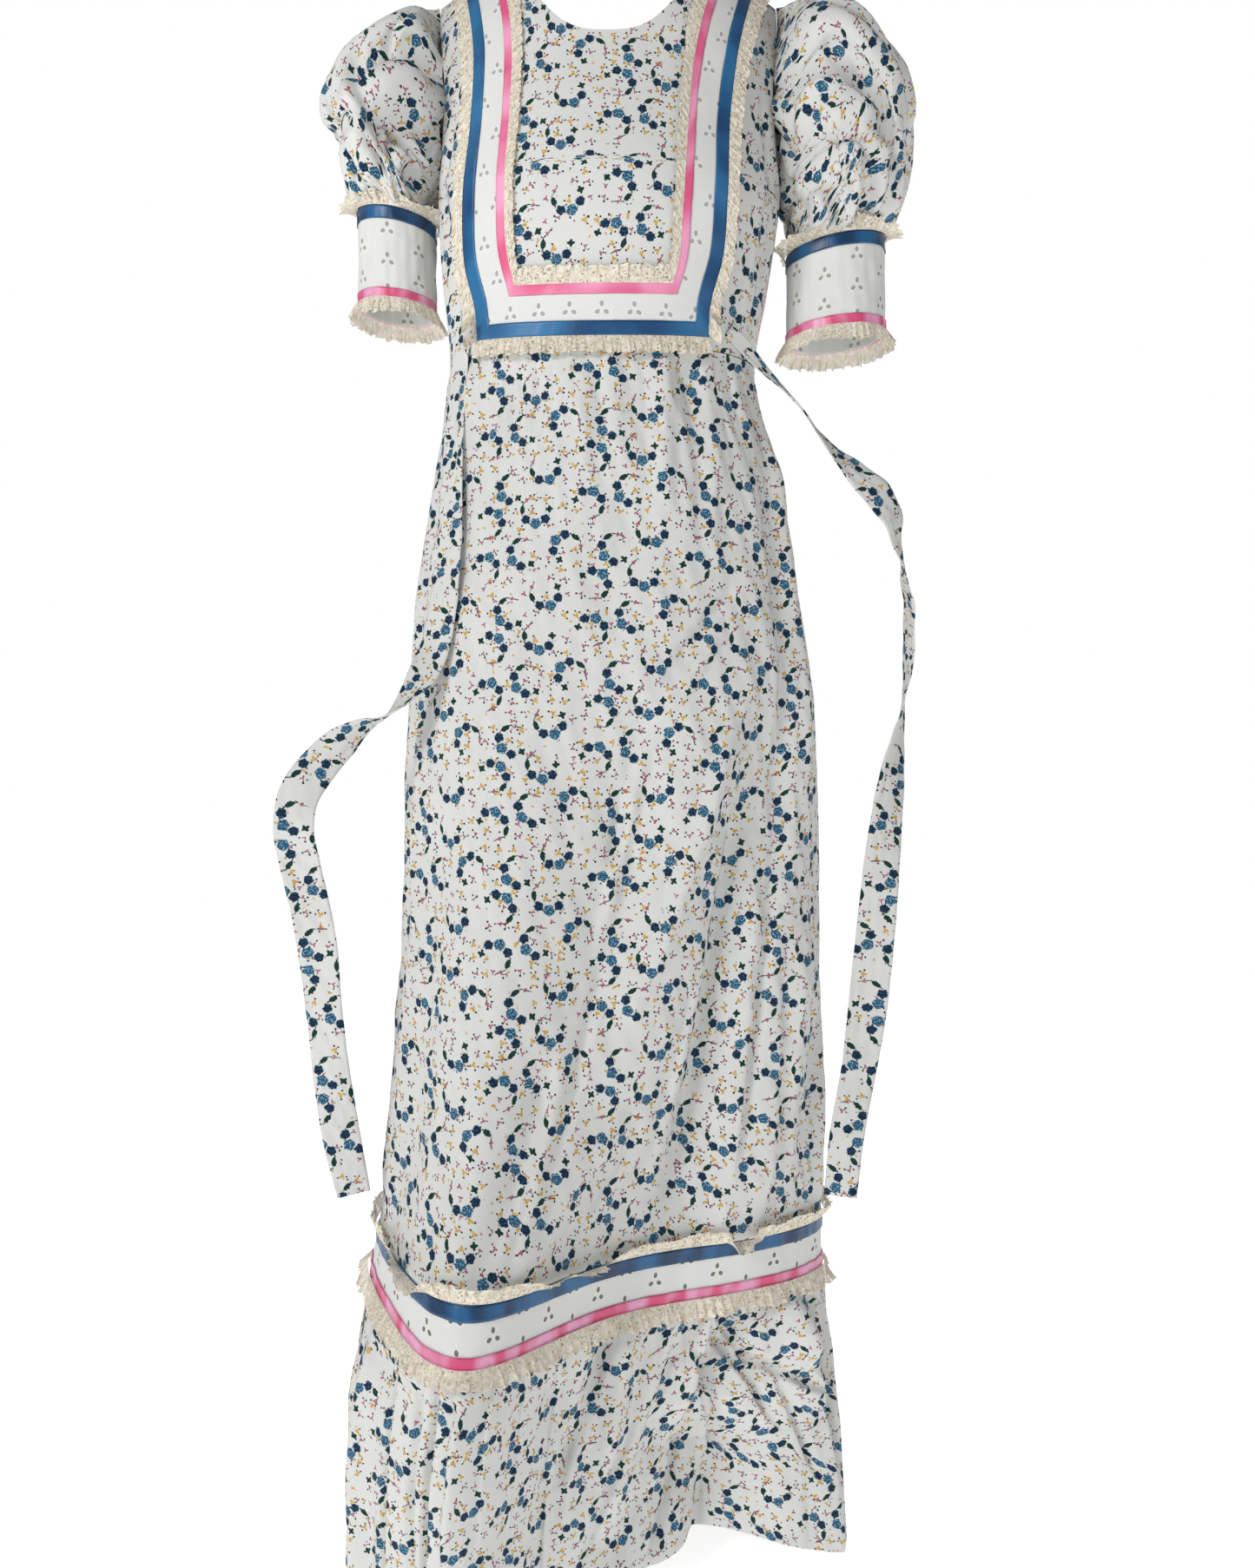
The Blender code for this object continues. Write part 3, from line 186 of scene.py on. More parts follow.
FRONT_KNEE_SPREAD = 0.46
BACK_KNEE_AT = 0.50
BACK_KNEE_SPREAD = 0.55
SLOPE_STEP = 1e-4


def column(rows, names, name):
    """One named column of a table."""
    return np.array([row[names.index(name)] for row in rows], dtype=float)


def through(knots, values, at):
    """Smooth curve through the knots: cubic pieces, each knot with its neighbours' slope."""
    knots = np.asarray(knots, dtype=float)
    values = np.asarray(values, dtype=float)
    if knots[0] > knots[-1]:
        knots, values = knots[::-1], values[::-1]
    slopes = np.gradient(values, knots)
    at = np.clip(np.asarray(at, dtype=float), knots[0], knots[-1])
    left = np.clip(np.searchsorted(knots, at, side="right") - 1, 0, len(knots) - 2)
    step = knots[left + 1] - knots[left]
    t = (at - knots[left]) / step
    start = (1.0 + 2.0 * t) * (1.0 - t) ** 2 * values[left]
    start_slope = t * (1.0 - t) ** 2 * step * slopes[left]
    end = t**2 * (3.0 - 2.0 * t) * values[left + 1]
    end_slope = -(t**2) * (1.0 - t) * step * slopes[left + 1]
    return start + start_slope + end + end_slope


def table(rows, names, key, at):
    """Every other column of a table, read at the given places of its key column."""
    knots = column(rows, names, key)
    return {name: through(knots, column(rows, names, name), at) for name in names if name != key}


def hump(distance):
    """A soft hump: 1 at the middle, 0 from a distance of 1 outwards."""
    near = np.clip(1.0 - np.abs(distance), 0.0, 1.0)
    return near * near * (3.0 - 2.0 * near)


def points(x, y, z):
    return np.stack(np.broadcast_arrays(x, y, z), axis=-1).astype(float)


def grid(us, vs):
    return np.meshgrid(us, vs, indexing="ij")


def unit(vectors):
    return vectors / np.linalg.norm(vectors, axis=-1, keepdims=True)


def run_along(line):
    """The length along a line of points, from its start to each point."""
    return np.concatenate([[0.0], np.cumsum(np.linalg.norm(np.diff(line, axis=0), axis=1))])


def normals(surface, u, v):
    """Unit normals of a surface function, from its two slopes."""
    along_u = surface(u + SLOPE_STEP, v) - surface(u - SLOPE_STEP, v)
    along_v = surface(u, v + SLOPE_STEP) - surface(u, v - SLOPE_STEP)
    return unit(np.cross(along_u, along_v))


def ring_at(height):
    """The body table's values at a height."""
    return table(BODY_ROWS, BODY_COLUMNS, "height", height)


def lift_at(rows, turn):
    """A table's lift at a turn round the ring."""
    around = (np.degrees(turn) + 180.0) % 360.0 - 180.0
    return table(rows, LIFT_COLUMNS, "turn", around)["lift"]


def body(turn, height):
    """The worn ring at a height: half width by sine, depths by cosine, pushed out at the knees."""
    ring = ring_at(height)
    side = np.sin(turn)
    face = np.cos(turn)
    reach = np.abs(face) ** BODY_FLATNESS
    front_knee = np.exp(-(((side - FRONT_KNEE_AT) / FRONT_KNEE_SPREAD) ** 2))
    back_knee = np.exp(-(((side - BACK_KNEE_AT) / BACK_KNEE_SPREAD) ** 2))
    front = ring["front"] + ring["front_knee"] * front_knee
    back = ring["back"] + ring["back_knee"] * back_knee
    y = np.where(face > 0.0, -front * reach, back * reach) + ring["lean"] * side
    draw = lift_at(BAND_DRAWS, turn) * table(DRAW_SHARES, DRAW_COLUMNS, "height", height)["share"]
    return points(ring["centre"] + ring["half_width"] * side, y, height + draw)


def ridge(x):
    """Height of the shoulder line: level to the neck point, then sloping to the shoulder point."""
    slope = (SHOULDER_POINT_Z - NECK_POINT_Z) / (SHOULDER_HALF_WIDTH - NECK_HALF_WIDTH)
    return NECK_POINT_Z + slope * (np.abs(x) - NECK_HALF_WIDTH)


def top_edge(x, neck_drop):
    """Top of a bodice panel: the neckline curve in the middle, the shoulder seam beside it."""
    within = np.clip(np.abs(x) / NECK_HALF_WIDTH, 0.0, 1.0)
    neckline = NECK_POINT_Z - neck_drop * (1.0 - within**NECK_CURVE)
    return np.where(np.abs(x) < NECK_HALF_WIDTH, neckline, ridge(x))


def bodice_surface(side, neck_drop):
    """One half of the bodice: side is +1 for the front and -1 for the back.

    across runs from -1 to 1 between the side seams, rise from 0 at the empire seam to 1 at the
    neckline and shoulder seam. The edge turns in at the armhole, and the depth rounds over to
    nothing at the shoulder line.
    """

    def surface(across, rise):
        across, rise = np.broadcast_arrays(np.asarray(across, float), np.asarray(rise, float))
        rise = rise * (1.0 - SHOULDER_SHORT * np.abs(across) ** SHOULDER_SHORT_POWER)
        in_armhole = np.clip((rise - ARMHOLE_LOW) / (1.0 - ARMHOLE_LOW), 0.0, 1.0)
        edge = 90.0 - ARMHOLE_TURN_IN * np.sin(math.pi * in_armhole) ** 0.9
        turn = np.radians(across * edge)
        top_x = SHOULDER_HALF_WIDTH * np.sin(np.radians(across * 90.0))
        height = EMPIRE_Z + (top_edge(top_x, neck_drop) - EMPIRE_Z) * rise
        ring = ring_at(height)
        x = ring["centre"] + ring["half_width"] * np.sin(turn)
        x = x + (top_x - x) * np.clip(rise, 0.0, 1.0) ** 6
        below_ridge = np.clip((ridge(x) - height) / SHOULDER_ROUNDING, 0.0, 1.0)
        rounding = np.sqrt(np.clip(1.0 - (1.0 - below_ridge) ** 2, 1e-6, 1.0))
        depth = ring["front"] if side > 0 else ring["back"]
        y = -side * depth * np.abs(np.cos(turn)) ** BODY_FLATNESS * rounding
        return points(x, y, height)

    return surface


BODICE_FRONT_FORM = bodice_surface(1.0, NECK_FRONT_DROP)
BODICE_BACK_FORM = bodice_surface(-1.0, NECK_BACK_DROP)

# Soft creases of the bodice: a line from (across, rise) to (across, rise), its half width across,
# and how far it rises or sinks, in metres
CREASE_COLUMNS = ("u_top", "v_top", "u_low", "v_low", "half_width", "rise")
CREASE_FOOT = 1.5
BODICE_CREASE_GAIN = 1.5
BODICE_CREASES = (
    (0.86, 0.66, 0.7, 0.3, 0.04, -0.004),
    (0.93, 0.58, 0.8, 0.16, 0.036, 0.0034),
    (0.8, 0.4, 0.74, 0.04, 0.028, -0.0034),
    (0.68, 0.36, 0.64, 0.04, 0.026, 0.0026),
    (-0.84, 0.6, -0.74, 0.22, 0.04, -0.0036),
    (-0.92, 0.52, -0.84, 0.1, 0.036, 0.0032),
    (-0.74, 0.34, -0.7, 0.02, 0.028, -0.0028),
    (0.3, 0.52, -0.28, 0.47, 0.1, -0.0006),
    (0.24, 0.36, -0.3, 0.38, 0.09, 0.0006),
)
# The back has the slanting ones at the armholes too, mirrored
ARMHOLE_CREASES = 7
BACK_CREASES = tuple(
    (-u_top, v_top, -u_low, v_low, half_width, rise)
    for u_top, v_top, u_low, v_low, half_width, rise in BODICE_CREASES[:ARMHOLE_CREASES]
)


def soft_creases(rows, u, v, scale):
    """The sum of a table's creases, each a trough or ridge across its line, faded at its ends."""
    total = np.zeros(np.broadcast(u, v).shape)
    for row in rows:
        crease = dict(zip(CREASE_COLUMNS, row))
        run_u = (crease["u_low"] - crease["u_top"]) * scale
        run_v = crease["v_low"] - crease["v_top"]
        length = math.hypot(run_u, run_v)
        from_u = (u - crease["u_top"]) * scale
        from_v = v - crease["v_top"]
        along = (from_u * run_u + from_v * run_v) / length**2
        apart = (from_u * run_v - from_v * run_u) / length
        ends = np.clip(3.0 * along + 0.5, 0.0, 1.0) * np.clip(3.0 * (1.0 - along) + 0.5, 0.0, 1.0)
        total = total + crease["rise"] * hump(apart / crease["half_width"] / CREASE_FOOT) * ends
    return total


def unevenness(u, v, seed):
    """A soft irregular wave between about -1 and 1: six slanting sines of unlike lengths."""
    angle = seed * 1.7 + np.arange(6) * 2.399
    pace = 1.0 + 0.37 * np.arange(6)
    total = 0.0
    for turn, step in zip(angle, pace):
        total = total + np.sin(step * (u * math.cos(turn) + v * math.sin(turn)) * 6.0 + 5.0 * turn) / 2.4
    return total / 1.6


def bodice_cloth(form, side, seed):
    """The worn surface of a bodice half: its form, soft creases, and gathers at the waist seam."""
    creases = BODICE_CREASES if side > 0 else BACK_CREASES

    def surface(across, rise):
        across, rise = np.broadcast_arrays(np.asarray(across, float), np.asarray(rise, float))
        lift = BODICE_CREASE_GAIN * soft_creases(creases, across, rise, 1.0)
        lift = lift + 0.00035 * unevenness(across * 2.0, rise * 3.0, seed)
        lift = lift * np.clip((0.998 - rise) * 12.0, 0.0, 1.0) * np.clip(rise * 10.0, 0.0, 1.0)
        out_x = 0.35 * np.sin(across * 1.5)
        out_y = -side * np.cos(across * 1.3)
        return form(across, rise) + lift[..., None] * points(out_x, out_y, np.zeros(across.shape))

    return surface


BODICE_FRONT = bodice_cloth(BODICE_FRONT_FORM, 1.0, 0.0)
BODICE_BACK = bodice_cloth(BODICE_BACK_FORM, -1.0, 3.0)


class Number:
    """A value that changes over the surface: each operator adds the Math node that works it out."""

    def __init__(self, look, socket):
        self.look = look
        self.socket = socket

    def maths(self, operation, *others):
        return self.look.maths(operation, self, *others)

    def __add__(self, other):
        return self.look.maths("ADD", self, other)

    def __radd__(self, other):
        return self.look.maths("ADD", other, self)

    def __sub__(self, other):
        return self.look.maths("SUBTRACT", self, other)

    def __rsub__(self, other):
        return self.look.maths("SUBTRACT", other, self)

    def __mul__(self, other):
        return self.look.maths("MULTIPLY", self, other)

    def __rmul__(self, other):
        return self.look.maths("MULTIPLY", other, self)

    def __truediv__(self, other):
        return self.look.maths("DIVIDE", self, other)

    def __gt__(self, other):
        return self.look.maths("GREATER_THAN", self, other)

    def __lt__(self, other):
        return self.look.maths("LESS_THAN", self, other)

    def between(self, low, high):
        return (self > low) * (self < high)

    def size_with(self, other):
        """The length of a vector with this and another number as its parts."""
        return (self * self + other * other).maths("SQRT")


class Look:
    """A cloth's material while it is built: node() adds any node, maths() a Math node."""

    def __init__(self, name, roughness):
        self.material = bpy.data.materials.new(name)
        self.material.use_nodes = True
        self.tree = self.material.node_tree
        self.shader = self.tree.nodes["Principled BSDF"]
        self.shader.inputs["Roughness"].default_value = roughness
        self.shader.inputs["Specular IOR Level"].default_value = 0.25

    def node(self, kind, settings, sockets):
        made = self.tree.nodes.new(kind)
        for name, value in settings.items():
            setattr(made, name, value)
        for name, value in sockets.items():
            self.feed(made.inputs[name], value)
        return made

    def feed(self, entry, value):
        if isinstance(value, Number):
            value = value.socket
        if isinstance(value, bpy.types.NodeSocket):
            self.tree.links.new(value, entry)
        else:
            entry.default_value = value

    def maths(self, operation, *values):
        made = self.node("ShaderNodeMath", {"operation": operation}, dict(enumerate(values)))
        return Number(self, made.outputs[0])

    def cloth_place(self):
        """The place on the flat cloth in metres, u and v, from the piece's own map."""
        uv = self.node("ShaderNodeUVMap", {"uv_map": "cloth"}, {})
        apart = self.node("ShaderNodeSeparateXYZ", {}, {0: uv.outputs[0]})
        return Number(self, apart.outputs[0]), Number(self, apart.outputs[1]), uv.outputs[0]

    def noise(self, vector, scale, detail=1.0, distortion=0.0):
        sockets = {"Vector": vector, "Scale": scale, "Detail": detail, "Distortion": distortion}
        return Number(self, self.node("ShaderNodeTexNoise", {}, sockets).outputs[0])

    def cells(self, vector, scale, randomness, settings):
        sockets = {"Vector": vector, "Scale": scale, "Randomness": randomness}
        return self.node("ShaderNodeTexVoronoi", settings, sockets).outputs

    def mixed(self, factor, low, high):
        """A colour between two colours."""
        made = self.node("ShaderNodeMix", {"data_type": "RGBA"}, {0: factor, 6: low, 7: high})
        return made.outputs[2]

    def smooth(self, value, start, end):
        """0 below start, 1 above end, a soft step between; start may be the larger."""
        sockets = {"Value": value, "From Min": start, "From Max": end}
        made = self.node("ShaderNodeMapRange", {"interpolation_type": "SMOOTHSTEP"}, sockets)
        return Number(self, made.outputs[0])

    def inside(self, value, edge, softness):
        """1 where the value is below the edge, 0 where it is above."""
        return self.smooth(value - edge, softness, -softness)

    def bump(self, height, strength, distance):
        sockets = {"Height": height, "Strength": strength, "Distance": distance}
        self.feed(self.shader.inputs["Normal"], self.node("ShaderNodeBump", {}, sockets).outputs[0])

    def colour(self, value):
        self.feed(self.shader.inputs["Base Color"], value)
        return self.material


def tint(red, green, blue):
    """A screen colour from 0 to 255 as a linear colour."""
    share = np.array([red, green, blue]) / 255.0
    linear = np.where(share < 0.04045, share / 12.92, ((share + 0.055) / 1.055) ** 2.4)
    return (*linear.tolist(), 1.0)


BUMP_DEPTH = 0.0012


def squared_oval(x, half_x, y, half_y):
    """1 on the oval with these half sizes, less inside it."""
    return (x / half_x) * (x / half_x) + (y / half_y) * (y / half_y)


# The print: wreaths on a half-drop repeat, each open on one side. A row is a wreath's middle in
# the repeat, down the cloth, and the way that its palest rose lies, in degrees from the right.
REPEAT_ACROSS = 0.088
REPEAT_DOWN = 0.104
WREATH_COLUMNS = ("across", "down", "faces")
WREATHS = (
    (0, 0, -70),
    (0.0344, 0.0912, 147),
    (0.0703, 0.088, -144),
    (0.0219, 0.036, 145),
    (0.0513, 0.0203, 68),
    (0.0038, 0.0658, -49),
    (0.0444, 0.0558, 90),
)
WREATH_RADIUS = 0.0114
WREATH_STEP = math.radians(46.0)
# Sizes of the print's parts in metres, each a radius or a half size where nothing else is said
DARK_ROSE = 0.0037
PALE_ROSE = 0.0044
FLOWER_SPACING = 0.0120
PRINT_WANDER = 0.0016
PRINT_EDGE = 0.0002
LOBED_LEAF = 0.0026
LONG_LEAF_HALF_WIDTH = 0.0021
LONG_LEAF_HALF_LENGTH = 0.0039
STALK_REACH = 0.0168
BLOOM = 0.0014
GOLD_EXTRA = 0.0006
BUD_HALF_LENGTH = 0.0014
BUD_HALF_WIDTH = 0.0008
# The three dark specks beside a small flower
SPECK_COLUMNS = ("left", "up", "size")
SPECKS = (
    (0.0034, 0.001, 0.0009),
    (-0.0014, 0.0034, 0.0009),
    (0.0026, -0.0025, 0.0008),
)


def printed_cotton(name, ground):
    """Cotton lawn with the wreath print, worked out from the cloth's own map.

    The nearest wreath is found by folding the cloth into each wreath's own repeat. Round it, the
    turn is folded into steps: a pale rose, a dark rose each side, a leaf at each end, and a pink
    sprig. Small flowers lie at the points of an uneven lattice between the wreaths.
    """
    look = Look(name, 0.85)
    u, v, flat = look.cloth_place()
    lumps = look.noise(flat, 520.0) - 0.5
    other_lumps = look.noise(flat, 610.0) - 0.5
    x = u + lumps * PRINT_WANDER
    y = v + other_lumps * PRINT_WANDER
    nearest = look.maths("ADD", 1.0, 0.0)
    turn = look.maths("ADD", 0.0, 0.0)
    half_across = 0.5 * REPEAT_ACROSS
    half_down = 0.5 * REPEAT_DOWN
    for row in WREATHS:
        wreath = dict(zip(WREATH_COLUMNS, row))
        from_x = x - wreath["across"]
        in_x = from_x.maths("WRAP", half_across, -half_across)
        drop = (from_x - in_x) * (half_down / REPEAT_ACROSS)
        in_y = (y - wreath["down"] - drop).maths("WRAP", half_down, -half_down)
        far = in_x.size_with(in_y)
        faces = in_y.maths("ARCTAN2", in_x) - math.radians(wreath["faces"])
        closer = far < nearest
        nearest = far.maths("MINIMUM", nearest)
        turn = turn + closer * (faces - turn)
    turn = turn.maths("WRAP", math.pi, -math.pi)
    number = (turn / WREATH_STEP).maths("ROUND")
    inside_turn = turn - number * WREATH_STEP
    place = number.maths("ABSOLUTE")
    out = nearest * inside_turn.maths("COSINE") - WREATH_RADIUS
    beside = nearest * inside_turn.maths("SINE")
    away = out.size_with(beside)
    petal_turn = beside.maths("ARCTAN2", out)

    is_pale = place < 0.5
    is_rose = place < 1.5
    ruffle = (petal_turn * 5.0 + number * 2.0).maths("COSINE") * 0.0003 + lumps * 0.0016
    rose_edge = DARK_ROSE + is_pale * (PALE_ROSE - DARK_ROSE) + ruffle
    rose = is_rose * look.inside(away, rose_edge, 0.00025)
    lobes = LOBED_LEAF + (petal_turn * 4.0).maths("COSINE") * 0.0007 + lumps * 0.0015
    leaf = number.between(-2.5, -1.5) * look.inside(away, lobes, PRINT_EDGE)
    long_leaf = squared_oval(out, LONG_LEAF_HALF_WIDTH, beside, LONG_LEAF_HALF_LENGTH) + lumps * 1.4
    leaf = leaf + number.between(1.5, 2.5) * look.smooth(long_leaf, 1.15, 0.85)
    flecks = look.noise(flat, 900.0)
    calyx = look.smooth(away, 0.0047, 0.0041) * (flecks > 0.62) * is_rose
    stalk = number.between(-1.6, 3.4) * look.smooth(out.maths("ABSOLUTE"), 0.0007, 0.0004) * (flecks > 0.44)
    stalk = (stalk + calyx) * look.smooth(nearest, STALK_REACH, STALK_REACH - 0.0005)
    sprig_edge = 0.0014 + (petal_turn * 3.0 + 1.0).maths("COSINE") * 0.0006 + lumps * 0.0012
    sprig = number.between(2.5, 3.5) * look.inside(away, sprig_edge, PRINT_EDGE)

    swirl = (petal_turn * 2.0 + away * 3400.0 + lumps * 9.0).maths("SINE")
    shine = look.smooth(look.noise(flat, 760.0), 0.52, 0.62)
    dark_blue = look.mixed(shine, tint(12, 36, 60), tint(40, 88, 122))
    pale_blue = look.mixed(shine, tint(38, 90, 124), tint(138, 182, 200))
    blue = look.mixed(is_pale, dark_blue, pale_blue)
    blue = look.mixed(look.smooth(swirl, 0.30, 0.75) * 0.72, blue, tint(10, 26, 50))
    green = look.mixed(look.smooth(flecks, 0.48, 0.60), tint(22, 62, 54), tint(10, 28, 34))

    scatter = look.cells(flat, 1.0 / FLOWER_SPACING, 0.70, {})
    chance = look.node("ShaderNodeSeparateColor", {}, {0: scatter["Color"]})
    kind = Number(look, chance.outputs[0])
    spin = Number(look, chance.outputs[1]) * (2.0 * math.pi)
    middle = look.node("ShaderNodeSeparateXYZ", {}, {0: scatter["Position"]})
    to_x = x - Number(look, middle.outputs[0])
    to_y = y - Number(look, middle.outputs[1])
    cosine = spin.maths("COSINE")
    sine = spin.maths("SINE")
    left = to_x * cosine + to_y * sine
    up = to_y * cosine - to_x * sine
    bloom_turn = up.maths("ARCTAN2", left)
    clear = look.smooth(away, 0.0042, 0.0048).maths("MAXIMUM", place > 2.5)
    is_gold = kind < 0.36
    is_pink = kind.between(0.36, 0.78)
    bloom_edge = BLOOM + 0.0007 * (bloom_turn * 3.0).maths("COSINE") + is_gold * GOLD_EXTRA + lumps * 0.0014
    bloom = look.inside(left.size_with(up), bloom_edge, PRINT_EDGE) * clear
    pink = bloom * is_pink * (bloom_turn.maths("ABSOLUTE") > 0.45)
    bud_shape = squared_oval(left, BUD_HALF_LENGTH, up, BUD_HALF_WIDTH)
    bud = kind.between(0.78, 0.92) * clear * look.smooth(bud_shape, 1.2, 0.8)
    specks = look.maths("ADD", 0.0, 0.0)
    for row in SPECKS:
        speck = dict(zip(SPECK_COLUMNS, row))
        from_speck = (left - speck["left"]).size_with(up - speck["up"])
        dot = look.smooth(from_speck, speck["size"] * 1.2, speck["size"] * 0.7)
        specks = specks.maths("MAXIMUM", dot)
    specks = specks * clear * (kind < 0.70)
    twig = look.smooth(up.maths("ABSOLUTE"), 0.0005, 0.00025) * left.between(0.0006, 0.0027) * clear * is_pink

    petals = look.smooth(look.noise(flat, 700.0), 0.42, 0.60)
    shade = ground
    for cover, ink in (
        (bloom * is_gold, look.mixed(petals, tint(214, 182, 108), tint(182, 136, 74))),
        (pink, look.mixed(petals, tint(178, 100, 118), tint(142, 60, 82))),
        (bud, tint(192, 164, 118)),
        (specks, tint(44, 40, 44)),
        (twig, tint(104, 56, 62)),
        (stalk, tint(30, 56, 58)),
        (sprig, tint(166, 88, 104)),
        (leaf, green),
        (rose, blue),
    ):
        shade = look.mixed(cover, shade, ink)
    crinkle = look.noise(flat, 85.0, 3.0, 0.6) * 0.7 + look.noise(flat, 900.0) * 0.12
    look.bump(crinkle, 0.32, BUMP_DEPTH)
    return look.colour(shade)


PRINT = printed_cotton("print_cotton", tint(213, 214, 211))


def cloth_piece(name, places, map_u, map_v, material, closed=False, middle=None):
    """Quads over a grid of places, facing away from middle, with the cloth's own map in metres.

    places has one point for each step round and down. A closed piece joins its last step to its
    first, and its maps have one step more than its places.
    """
    count_u, count_v = places.shape[:2]
    steps = count_u if closed else count_u - 1
    i, j = grid(np.arange(steps), np.arange(count_v - 1))
    i, j = i.ravel(), j.ravel()
    after = (i + 1) % count_u
    near = i * count_v + j
    far = after * count_v + j
    corners = np.stack([near, far, far + 1, near + 1], axis=1)
    corner_u = np.stack([i, i + 1, i + 1, i], axis=1)
    corner_v = np.stack([j, j, j + 1, j + 1], axis=1)
    flat = places.reshape(-1, 3)
    if middle is None:
        middle = flat.mean(axis=0) * np.array([0.0, 0.0, 1.0])
    a, b, c = flat[corners[:, 0]], flat[corners[:, 1]], flat[corners[:, 3]]
    facing = np.sum(np.cross(b - a, c - a) * (a - middle), axis=1).sum()
    if facing < 0.0:
        corners, corner_u, corner_v = corners[:, ::-1], corner_u[:, ::-1], corner_v[:, ::-1]
    mesh = bpy.data.meshes.new(name)
    mesh.vertices.add(len(flat))
    mesh.vertices.foreach_set("co", flat.astype(np.float32).ravel())
    mesh.loops.add(corners.size)
    mesh.loops.foreach_set("vertex_index", corners.astype(np.int32).ravel())
    mesh.polygons.add(len(corners))
    mesh.polygons.foreach_set("loop_start", np.arange(0, corners.size, 4, dtype=np.int32))
    mesh.update(calc_edges=True)
    cloth_map = mesh.uv_layers.new(name="cloth")
    uv = np.stack([map_u[corner_u, corner_v], map_v[corner_u, corner_v]], axis=-1)
    cloth_map.data.foreach_set("uv", uv.astype(np.float32).ravel())
    mesh.shade_smooth()
    mesh.validate()
    mesh.materials.append(material)
    piece = bpy.data.objects.new(name, mesh)
    bpy.context.scene.collection.objects.link(piece)
    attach(piece, "root")
    return piece


def lengths_round(rows):
    """The length round each row of a grid of places, from its first step to each step."""
    steps = np.linalg.norm(np.diff(rows, axis=0), axis=2)
    return np.concatenate([np.zeros((1, rows.shape[1])), np.cumsum(steps, axis=0)], axis=0)


def cloth_lengths(places, start, closed=False):
    """The cloth's own map: length round each row from the start step, mean length down a column."""
    rows = np.concatenate([places, places[:1]], axis=0) if closed else places
    u = lengths_round(rows)
    down_steps = np.linalg.norm(np.diff(rows, axis=1), axis=2).mean(axis=0)
    v = np.concatenate([[0.0], np.cumsum(down_steps)])
    return u - u[start], np.broadcast_to(v, u.shape)


def hung_map(places, start):
    """The map of a cloth that hangs straight: length round each row seen from above, and depth."""
    u = lengths_round(places[..., :2])
    return u - u[start], -places[..., 2]


def sewn(piece, node):
    """The piece stands for the CAD node of its name, which is hidden."""
    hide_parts(node)
    return piece


CLOTH_THICKNESS = 0.0005


def give_thickness(piece, thickness=CLOTH_THICKNESS):
    wall = piece.modifiers.new("thickness", "SOLIDIFY")
    wall.thickness = thickness
    wall.offset = -1.0


# Rises up to the shoulder seam, closer together where the depth runs out over it
BODICE_RISES = np.append(np.linspace(0.001, 0.985, 126), 1.0 - np.linspace(0.11, 0.0012, 14) ** 2)
# Where a wreath's middle lies on the front, and a soft tuck across the front that hides cloth
FRONT_WREATH_AT = (0.005, -0.1905)
TUCK_Z = -0.2165
TUCK_TAKES = 0.015
FRONT_HALF_STEPS = 90
FRONT_SEAM = 0.9992
BACK_SEAM = 0.9997
BACK_STEPS = 90
across, rise = grid(np.linspace(-FRONT_SEAM, FRONT_SEAM, 2 * FRONT_HALF_STEPS + 1), BODICE_RISES[::-1])
places = BODICE_FRONT(across, rise)
map_u, map_v = hung_map(places, FRONT_HALF_STEPS)
map_u = map_u + places[FRONT_HALF_STEPS, 0, 0] - FRONT_WREATH_AT[0]
map_v = map_v + FRONT_WREATH_AT[1] + TUCK_TAKES * np.clip((TUCK_Z - places[..., 2]) / 0.003, 0.0, 1.0)
bodice_front = cloth_piece("bodice_front_cloth", places, map_u, map_v, PRINT)
sewn(bodice_front, "bodice_front")
for side, start, end in (("l", -BACK_SEAM, 0.0), ("r", 0.0, BACK_SEAM)):
    across, rise = grid(np.linspace(start, end, BACK_STEPS), BODICE_RISES[::-1])
    places = BODICE_BACK(across, rise)
    map_u, map_v = hung_map(places, 0)
    name = f"bodice_back_{side}"
    piece = sewn(cloth_piece(f"{name}_cloth", places, map_u + 0.2, map_v, PRINT), name)

# Sleeves: a full puff of the printed cotton each side, gathered into the armhole at the top and
# into the eyelet cuff below, its slack falling in slanting folds.
SLEEVE_COLUMNS = ("outer_x", "outer_z", "inner_x", "inner_z", "half_depth")
SLEEVE_ROWS = {
    "r": (
        (0.164, -0.034, 0.153, -0.218, 0.062),
        (0.189, -0.028, 0.156, -0.222, 0.076),
        (0.214, -0.042, 0.158, -0.226, 0.083),
        (0.238, -0.073, 0.159, -0.23, 0.086),
        (0.258, -0.104, 0.1595, -0.234, 0.086),
        (0.269, -0.138, 0.16, -0.238, 0.083),
        (0.269, -0.172, 0.16, -0.242, 0.077),
        (0.264, -0.2, 0.1595, -0.246, 0.067),
        (0.256, -0.224, 0.159, -0.25, 0.055),
        (0.244, -0.2394, 0.158, -0.2554, 0.0431),
    ),
    "l": (
        (-0.16, -0.04, -0.153, -0.21, 0.058),
        (-0.176, -0.042, -0.156, -0.212, 0.07),
        (-0.204, -0.062, -0.158, -0.214, 0.077),
        (-0.229, -0.086, -0.159, -0.216, 0.08),
        (-0.246, -0.116, -0.159, -0.218, 0.079),
        (-0.2455, -0.14, -0.1585, -0.22, 0.074),
        (-0.2365, -0.153, -0.1575, -0.222, 0.068),
        (-0.2335, -0.178, -0.156, -0.224, 0.06),
        (-0.23, -0.202, -0.1545, -0.2262, 0.05),
        (-0.2212, -0.2174, -0.153, -0.2294, 0.0391),
    ),
}
SLEEVE_FOLD_COLUMNS = ("round_top", "along_top", "round_low", "along_low", "half_round", "rise")
